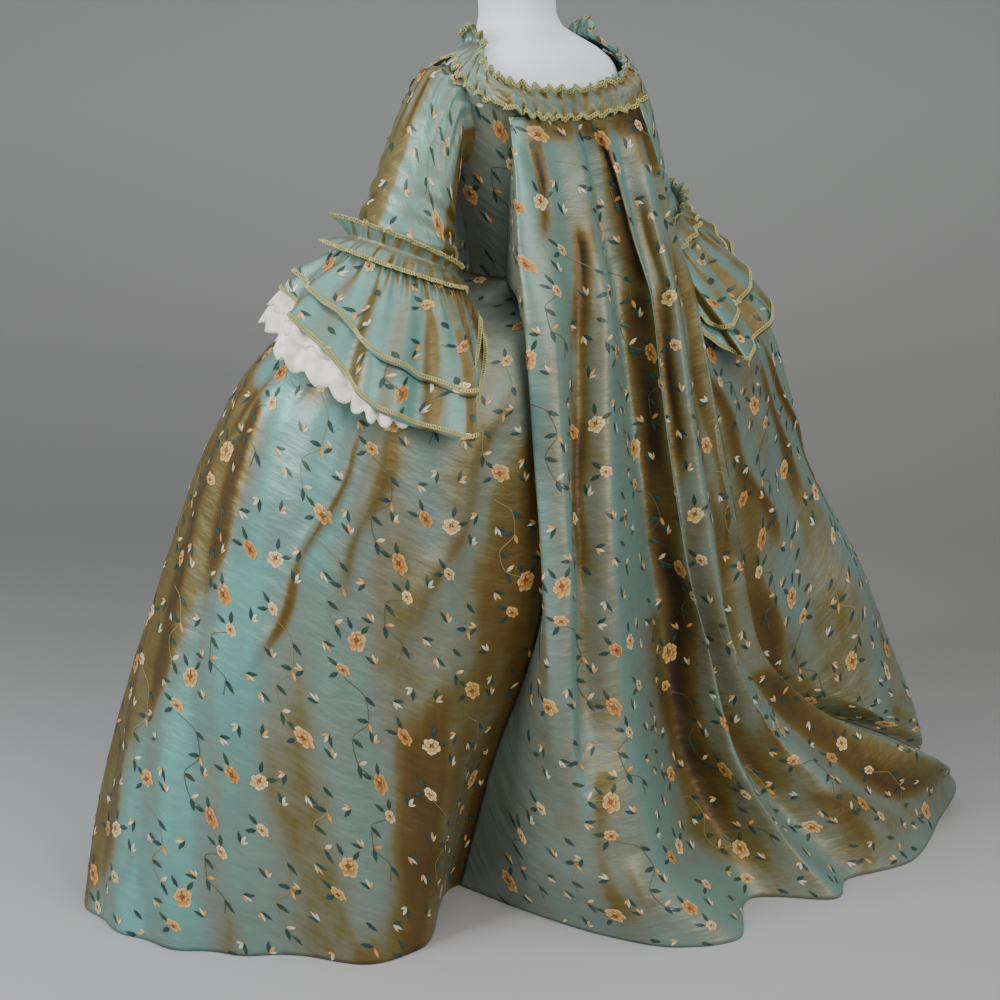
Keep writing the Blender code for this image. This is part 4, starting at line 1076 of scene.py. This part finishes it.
# Ruffles. Gathered strips of the same silk run round the neck, down the robe's front edges
# and over the joins of the sleeves. Each is sewn down along its middle, with both edges free.
def silk_strip(name, rows, flip, node_name):
    """A ruffle from rows across its width."""
    cloth = make_cloth(rows, flip=flip)
    # painted light and shade of the ruffle's folds
    cloth["tone"] = 0.50 + np.clip(fold_light_and_shade(cloth, 6, 0.60), -0.22, 0.28)
    made = grid_object(name, cloth, silk, RUFFLE_THICK, node_name)
    return cloth


def neck_ruffle_rows():
    """The ruffle round the neck, over the tops of the back pleats."""
    count = NECK_RUFFLE_WAVES * 14
    turns = np.linspace(72, 288, count + 1)
    phase = np.linspace(0, NECK_RUFFLE_WAVES * 2 * math.pi, count + 1)
    folded = np.where(turns > 180, 360 - turns, turns)
    side = np.where(turns > 180, -1.0, 1.0)
    top = column(NECKLINE, 1, folded)
    pleats = sack(np.linspace(1, len(SACK_COLUMNS) - 2, 200), PLEAT_TOP)
    flat_x = -side * np.abs(torso_rows(folded, top)[:, 0])
    over_back = np.interp(flat_x, -pleats[:, 0], pleats[:, 1])
    shoulder = 0.020 * np.exp(-((folded - 88) / 20) ** 2)
    rows = []
    for s in np.linspace(1, -1, RUFFLE_LINES):
        rise = 0.004 + (0.029 if s > 0 else 0.022) * s
        free = abs(s) ** 1.2
        wave = 0.5 + 0.34 * np.cos(phase * 1.2 + 0.9 * s + 1.4 * np.sin(phase / 5.3))
        wave = wave + 0.16 * np.cos(phase * 2.3 - 1.4 * s)
        heights = top + rise + shoulder + 0.0045 * free * np.sin(phase * 1.4 + s)
        out = 0.0036 + 0.0020 * free + (0.0006 + 0.0165 * free) * wave
        points = np.array([torso(np.array(t), h, bodice_out(h) + o)
                           for t, h, o in zip(folded, heights, out)])
        points[:, 0] *= side
        on_pleats = over_back + 0.0030 + TRIM + 0.0120 * wave * free
        covers = ease((0.143 - np.abs(points[:, 0])) / 0.012) * ease((points[:, 1] - 0.04) / 0.03)
        points[:, 1] += covers * ease((0.6 - s) / 0.5) * np.maximum(on_pleats - points[:, 1], 0.0)
        rows.append(points)
    return rows


def front_ruffle_rows(side):
    """The ruffle down a front edge of the robe."""
    count = FRONT_RUFFLE_WAVES * 14
    heights = np.linspace(1.352, WAIST + 0.012, count + 1)
    phase = np.linspace(0, FRONT_RUFFLE_WAVES * 2 * math.pi, count + 1)
    stand = FRONT_RUFFLE_STAND * np.exp(-((heights - 1.205) / 0.07) ** 2)
    rows = []
    for s in np.linspace(-1, 1, RUFFLE_LINES):
        free = abs(s) ** 1.3
        wave = 0.5 + 0.32 * np.cos(phase + 0.9 * s + 1.1 * np.sin(phase / 5.3))
        wave = wave + 0.18 * np.cos(phase * 2.3 - 1.4 * s)
        spread = 0.5 + (8.5 if s > 0 else 6.5) * s
        turns = column(FRONT_EDGE, 1, heights) + spread
        lift = 0.0015 + ((0.0185 + stand) if s > 0 else 0.0105) * free
        out = bodice_out(heights) + lift + (0.0005 + 0.0100 * free) * wave
        points = np.array([torso(np.array(t), h, o) for t, h, o in zip(turns, heights, out)])
        rows.append(points * np.array([side, 1, 1]))
    return rows


def sleeve_ruffle_rows(side):
    """The ruffle over the join of a sleeve and its flounces, standing out in a fan in front."""
    turns = np.linspace(-98, 262, SLEEVE_RUFFLE_WAVES * 16 + 1)
    phase = np.radians(turns) * SLEEVE_RUFFLE_WAVES * 1.5
    around_turns = np.mod(turns, 360)
    fan = 0.018 * np.exp(-((around_turns - 50) / 28) ** 2)
    inner = 1 - 0.8 * np.exp(-((around_turns - 262) / 52) ** 2)
    rows = []
    for s in np.linspace(-1, 1, RUFFLE_LINES):
        free = abs(s) ** 1.2
        wave = 0.5 + 0.34 * np.cos(phase + 0.8 * s + np.sin(phase / 3.7))
        wave = wave + 0.16 * np.cos(phase * 2 + 2.0 * s)
        if s <= 0:
            t = 0.965 + (0.965 - SLEEVE_RUFFLE_EDGES[0]) * s
            out = 0.0025 + (0.0075 + 0.0150 * wave + fan) * free * inner
            rows.append(sleeve(around_turns, t, side, out=out[:, None]))
        else:
            base = sleeve(around_turns, 0.965, side, out=0.0025)
            low, away = flounce_sheet(around_turns, np.full_like(turns, SLEEVE_RUFFLE_EDGES[1]), side)
            low = low + away * (0.005 + (0.0125 * wave + fan) * inner)[:, None]
            rows.append(base + (low - base) * s + away * (0.0035 * wave * math.sin(math.pi * s))[:, None])
    return rows


strips = [silk_strip("neck_ruffle_strip", neck_ruffle_rows(), True, "neck_ruffle")]
for side, word in ((1, "left"), (-1, "right")):
    strips.append(silk_strip("front_ruffle_%s_strip" % word, front_ruffle_rows(side), side > 0,
                             "front_ruffle_" + word))
    strips.append(silk_strip("sleeve_ruffle_%s_strip" % word, sleeve_ruffle_rows(side), side > 0,
                             "sleeve_ruffle_" + word))


# Coloured work on the cloth. Braid and embroidery are each one mesh a piece, and every
# strand and stitch carries its own colours by point.
def coloured_object(name, points, faces, colours, finish):
    """One mesh of many small elements, coloured by an attribute."""
    mesh = bpy.data.meshes.new(name)
    mesh.from_pydata(points.tolist(), [], faces)
    mesh.materials.append(finish)
    mesh.shade_smooth()
    shade = mesh.attributes.new("thread", "FLOAT_COLOR", "POINT")
    shade.data.foreach_set("color", np.concatenate([colours, np.ones((len(colours), 1))], 1)
                           .astype(np.float32).ravel())
    made = bpy.data.objects.new(name, mesh)
    bpy.context.scene.collection.objects.link(made)
    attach(made, "root")
    return made


# Gimp braid. Two wavy strands cross over and under each other all along the edges of the
# ruffles and the hems of the flounces.
def braid(name, edges):
    """Strands along each edge: (points, outward normals), in order along the cloth."""
    points, faces = [], []
    for line, normal in edges:
        run = lengths(line[:, None, :], 0)[:, 0]
        pitches = max(int(run[-1] / BRAID_PITCH), 2)
        at = np.linspace(0, run[-1], pitches * 6 + 1)
        path = np.stack([np.interp(at, run, line[:, i]) for i in range(3)], -1)
        out = np.stack([np.interp(at, run, normal[:, i]) for i in range(3)], -1)
        out /= np.linalg.norm(out, axis=1, keepdims=True)
        along = np.gradient(path, axis=0)
        along /= np.linalg.norm(along, axis=1, keepdims=True)
        across = np.cross(out, along)
        phase = at / run[-1] * pitches * 2 * math.pi
        for sign in (1, -1):
            middle = path + across * (sign * BRAID_HALF * np.sin(phase))[:, None]
            middle = middle + out * (0.0011 + 0.0004 * sign * np.cos(2 * phase))[:, None]
            tangent = np.gradient(middle, axis=0)
            tangent /= np.linalg.norm(tangent, axis=1, keepdims=True)
            sideways = np.cross(out, tangent)
            first = len(points)
            for p, n, w in zip(middle, out, sideways):
                points += [p + w * BRAID_THREAD, p + n * BRAID_THREAD * 1.3, p - w * BRAID_THREAD]
            for i in range(len(middle) - 1):
                a = first + 3 * i
                faces += [(a, a + 1, a + 4, a + 3), (a + 1, a + 2, a + 5, a + 4)]
    points = np.array(points)
    colours = np.array(linear(BRAID_COLOUR)) * (0.85 + 0.3 * rng.random((len(points), 1)))
    return coloured_object(name, points, faces, colours, gimp)


def edge_of(cloth, row):
    """An edge row of a grid with its normals."""
    return cloth["points"][row], cloth["normal"][row]


for word in ("left", "right"):
    hems = [edge_of(flounce_cloths[name, word], -2) for name in ("upper", "lower")]
    braid("braid_flounces_" + word, hems)
braid("braid_neck", [edge_of(strips[0], 1), edge_of(strips[0], -2)])
for name, cloth in zip(("front_left", "sleeve_left", "front_right", "sleeve_right"), strips[1:]):
    braid("braid_" + name, [edge_of(cloth, 0), edge_of(cloth, -1)])


# Embroidery. One flat repeat of flowers, leaves, buds and stems is laid on every silk piece
# by its flat measure, so that it bends with the folds as worked cloth does.
def petal_rosette(x, y, size, turn, kind):
    """A flower seen a little from its side: uneven domed petals round a dark middle."""
    points, faces, colours = [], [], []
    rim, warm, deep = (linear(c) for c in FLOWER_COLOURS[kind])
    cosine, sine = math.cos(turn), math.sin(turn)
    for k, (angle, reach, wide) in enumerate(PETALS + INNER_PETALS):
        first = len(points)
        lift = 1.0 if k < len(PETALS) else 1.7
        reach = reach * size * (1 + 0.10 * math.sin(5 * k + x * 90))
        spots = ((0.14, 0.0, 0.5, deep), (0.48, -wide, 0.7, deep if k % 2 else warm),
                 (0.48, wide, 0.7, warm), (0.62, 0.0, 1.0, warm), (0.88, -wide * 0.95, 0.35, rim),
                 (0.92, wide * 0.85, 0.35, warm if k % 3 == 0 else rim), (1.04, 0.05, 0.45, rim))
        for radius, spread, height, colour in spots:
            a = angle + spread
            across, down = reach * radius * math.cos(a), 0.78 * reach * radius * math.sin(a)
            points.append((x + across * cosine - down * sine, y + across * sine + down * cosine,
                           THREAD_RISE * height * lift))
            colours.append(colour)
        f = first
        faces += [(f, f + 1, f + 3), (f, f + 3, f + 2), (f + 1, f + 4, f + 3), (f + 3, f + 4, f + 6),
                  (f + 3, f + 6, f + 5), (f + 2, f + 3, f + 5)]
    first = len(points)
    for k in range(6):
        a = turn + k * math.pi / 3
        points.append((x + size * 0.09 * math.cos(a), y + size * 0.07 * math.sin(a), THREAD_RISE * 1.8))
        colours.append(linear("4E2A12"))
    points.append((x, y, THREAD_RISE * 2.3))
    colours.append(linear("B9772C"))
    faces += [(first + k, first + (k + 1) % 6, first + 6) for k in range(6)]
    return points, faces, colours


def leaf(x, y, length, turn, colour, plump=0.17):
    """A leaf or bud from its foot: a pointed oval with a raised spine."""
    cosine, sine = math.cos(turn), math.sin(turn)
    tone, shade = linear(colour[0]), linear(colour[1])
    outline = ((0, 0, 0.3, shade), (0.3, -plump, 0.4, shade), (0.65, -plump * 0.9, 0.4, tone),
               (1, 0, 0.3, tone), (0.65, plump * 0.9, 0.4, tone), (0.3, plump, 0.4, shade),
               (0.45, 0, 1.0, tone))
    points = [(x + length * (a * cosine - b * sine), y + length * (a * sine + b * cosine),
               THREAD_RISE * h) for a, b, h, _ in outline]
    faces = [(k, (k + 1) % 6, 6) for k in range(6)]
    return points, faces, [c for _, _, _, c in outline]


def stem(line, wide, colour):
    """A ribbon of stem stitch along a smooth line of flat points."""
    keys = np.arange(len(line))
    fine = np.linspace(0, len(line) - 1, len(line) * 7)
    xs, ys = smooth(keys, [p[0] for p in line], fine), smooth(keys, [p[1] for p in line], fine)
    tangent = np.stack([np.gradient(xs), np.gradient(ys)], -1)
    tangent /= np.linalg.norm(tangent, axis=1, keepdims=True)
    points, faces = [], []
    for i, (x, y, (tx, ty)) in enumerate(zip(xs, ys, tangent)):
        points += [(x - ty * wide, y + tx * wide, THREAD_RISE * 0.35), (x, y, THREAD_RISE * 0.7),
                   (x + ty * wide, y - tx * wide, THREAD_RISE * 0.35)]
        if i:
            a = 3 * (i - 1)
            faces += [(a, a + 1, a + 4, a + 3), (a + 1, a + 2, a + 5, a + 4)]
    return points, faces, [linear(colour)] * len(points)


def repeat_elements():
    """All the elements of one repeat, each with its flat middle."""
    made = []
    for line, colour in STEMS:
        path = [(x / 1000, y / 1000) for x, y in line]
        made.append((path[len(path) // 2], stem(path, STEM_HALF, colour)))
        for k, (x, y) in enumerate(path[1:-1]):
            ahead = math.atan2(path[k + 2][1] - y, path[k + 2][0] - x)
            kind = LEAF_COLOURS[(k + len(path)) % 3 // 2]
            made.append(((x, y), leaf(x, y, LEAF_LENGTH, ahead + (0.8 if k % 2 else -0.8), kind)))
            if k % 2:
                made.append(((x, y), leaf(x, y, 0.018, ahead - 1.0, BUD_COLOURS[k % 3])))
    for x, y, size, turn, kind in FLOWERS:
        spot = (x / 1000, y / 1000)
        made.append((spot, petal_rosette(*spot, size / 1000, turn, kind)))
        for k in range(2):
            away = turn + 2.2 + 1.1 * k
            foot = (spot[0] + 0.0004 * size * math.cos(away), spot[1] + 0.0004 * size * math.sin(away))
            made.append((spot, leaf(*foot, 0.020, away, LEAF_COLOURS[k])))
    for x, y, turn in SPRIGS:
        spot = (x / 1000, y / 1000)
        for k, spread in enumerate((-0.65, 0.0, 0.6)):
            colours = LEAF_COLOURS[0] if k == 0 else BUD_COLOURS[int(x + y + k) % 3]
            made.append((spot, leaf(*spot, (0.021, 0.018, 0.014)[k], turn + spread, colours, 0.15)))
    return made


REPEAT = repeat_elements()


def embroider(name, cloth, start):
    """Lays the repeat over a piece; what would run off its edge is left out."""
    x, y = cloth["x"], cloth["y"]
    all_points, all_faces, all_colours, owners = [], [], [], []
    wide, tall = REPEAT_SIZE
    first = math.floor((x.min() - start[0]) / wide) - 1
    last = math.ceil((x.max() - start[0]) / wide) + 1
    total = 0
    for c in range(first, last):
        drop = 0.5 * tall * (c % 2)
        for r in range(-2, math.ceil(y.max() / tall) + 2):
            for (mx, my), (points, faces, colours) in REPEAT:
                shift = np.array([start[0] + c * wide, start[1] + r * tall + drop])
                if not (x.min() < mx + shift[0] < x.max() and 0.0 < my + shift[1] < y.max()):
                    continue
                moved = np.array(points)
                moved[:, :2] += shift
                owners.append((total, total + len(points), len(all_faces), len(faces)))
                all_points.append(moved)
                all_faces += [tuple(i + total for i in face) for face in faces]
                all_colours += colours
                total += len(points)
    if not total:
        return
    flat = np.concatenate(all_points)
    row, col, on = find(cloth, flat[:, 0], flat[:, 1])
    solid = interpolate(cloth["points"], row, col)
    out = interpolate(cloth["normal"], row, col)
    solid = solid + out * (flat[:, 2] + 0.0003)[:, None]
    kept, renumber, faces = [], -np.ones(total, int), []
    count = 0
    for start_point, end_point, first_face, face_count in owners:
        if on[start_point:end_point].all():
            renumber[start_point:end_point] = np.arange(count, count + end_point - start_point)
            kept.append(np.arange(start_point, end_point))
            count += end_point - start_point
            faces += all_faces[first_face:first_face + face_count]
    if not kept:
        return
    kept = np.concatenate(kept)
    faces = [tuple(int(renumber[i]) for i in face) for face in faces]
    if cloth["flip"]:
        faces = [face[::-1] for face in faces]
    colours = np.array(all_colours)[kept] * (0.9 + 0.2 * rng.random((len(kept), 1)))
    coloured_object("embroidery_" + name, solid[kept], faces, colours, embroidery)


embroider("side_left", left_skirt, (0.03, 0.0))
embroider("side_right", right_skirt, (0.11, 0.05))
embroider("sack_back", back_cloth, (0.07, 0.02))
embroider("petticoat_front", petticoat_front_cloth, (0.0, 0.0))
for number, cloth in enumerate(bodice_cloths):
    embroider("bodice_%d" % number, cloth, (0.05 * number, 0.03))
for (name, word), cloth in flounce_cloths.items():
    embroider("flounce_%s_%s" % (name, word), cloth, (0.04, 0.02))
for cloth, word in zip(sleeve_cloths, ("left", "right")):
    embroider("sleeve_" + word, cloth, (0.02, 0.01))


# Stage. A pale floor rises in a bend into a grey backdrop, in one sheet that is square to
# the camera, with a painted light falloff that darkens it with its distance from the camera.
def build_stage():
    """Floor and curved backdrop in one sheet, turned to the camera."""
    ahead = np.array([math.sin(CAMERA_TURN), -math.cos(CAMERA_TURN)])
    side = np.array([-ahead[1], ahead[0]])
    profile = [(STAGE_FRONT, 0.0), (STAGE_BACK, 0.0)]
    for step in range(1, 13):
        angle = step / 12 * math.pi / 2
        profile.append((STAGE_BACK - STAGE_BEND * math.sin(angle), STAGE_BEND * (1 - math.cos(angle))))
    profile.append((STAGE_BACK - STAGE_BEND, STAGE_HIGH))
    points = []
    for along, height in profile:
        for across in (-STAGE_HALF, STAGE_HALF):
            spot = ahead * along + side * across
            points.append((spot[0], spot[1], height))
    faces = [(2 * i, 2 * i + 1, 2 * i + 3, 2 * i + 2) for i in range(len(profile) - 1)]
    mesh = bpy.data.meshes.new("backdrop")
    mesh.from_pydata(points, [], faces)
    mesh.shade_smooth()
    made, tree, shader = finish_material("painted backdrop", 0.85)
    place = node(tree, "ShaderNodeTexCoord").outputs["Object"]
    parts = node(tree, "ShaderNodeSeparateXYZ", {"Vector": place}).outputs
    # painted light falloff by distance from the camera, then by height up the backdrop
    depth = maths(tree, "ADD", maths(tree, "MULTIPLY", parts["X"], -ahead[0]),
                  maths(tree, "MULTIPLY", parts["Y"], -ahead[1]))
    depth = maths(tree, "ADD", maths(tree, "MULTIPLY", depth, FLOOR_FADE), FLOOR_START)
    cloud = node(tree, "ShaderNodeTexNoise", {"Vector": place, "Scale": 1.1, "Detail": 2.0}).outputs["Fac"]
    painted_falloff = maths(tree, "MINIMUM", swayed(tree, depth, cloud, 0.10), FLOOR_END)
    painted_falloff = maths(tree, "ADD", painted_falloff, maths(tree, "MULTIPLY", parts["Z"], FLOOR_FADE))
    tree.links.new(ramp(tree, painted_falloff, BACKDROP_FALLOFF_COLOURS), shader.inputs["Base Color"])
    mesh.materials.append(made)
    backdrop = bpy.data.objects.new("backdrop", mesh)
    bpy.context.scene.collection.objects.link(backdrop)


build_stage()


# Lights and camera. The key comes from the left of the picture, with a soft fill from
# behind the camera and a wide top light.
def area_light(name, spot, aim, power, size, colour):
    """A square area light turned to a point."""
    data = bpy.data.lights.new(name, "AREA")
    data.energy = power
    data.size = size
    data.color = linear(colour)
    made = bpy.data.objects.new(name, data)
    made.location = spot
    away = np.array(spot) - np.array(aim)
    turn = math.atan2(away[0], -away[1])
    tilt = math.acos(away[2] / np.linalg.norm(away))
    made.rotation_euler = (tilt, 0, turn)
    bpy.context.scene.collection.objects.link(made)


for light in LIGHTS:
    area_light(*light)
world = bpy.data.worlds.new("room")
world.use_nodes = True
world.node_tree.nodes["Background"].inputs["Color"].default_value = (*linear(ROOM_COLOUR), 1.0)
world.node_tree.nodes["Background"].inputs["Strength"].default_value = ROOM_STRENGTH
bpy.context.scene.world = world

data = bpy.data.cameras.new("camera")
data.sensor_width = 36.0
data.lens = CAMERA_LENS
data.clip_end = 50.0
camera = bpy.data.objects.new("camera", data)
camera.location = CAMERA_PLACE
heading = math.atan2(-CAMERA_AHEAD[0], CAMERA_AHEAD[1])
camera.rotation_euler = (math.pi / 2 + math.asin(CAMERA_AHEAD[2]), 0, heading)
bpy.context.scene.collection.objects.link(camera)
bpy.context.scene.camera = camera
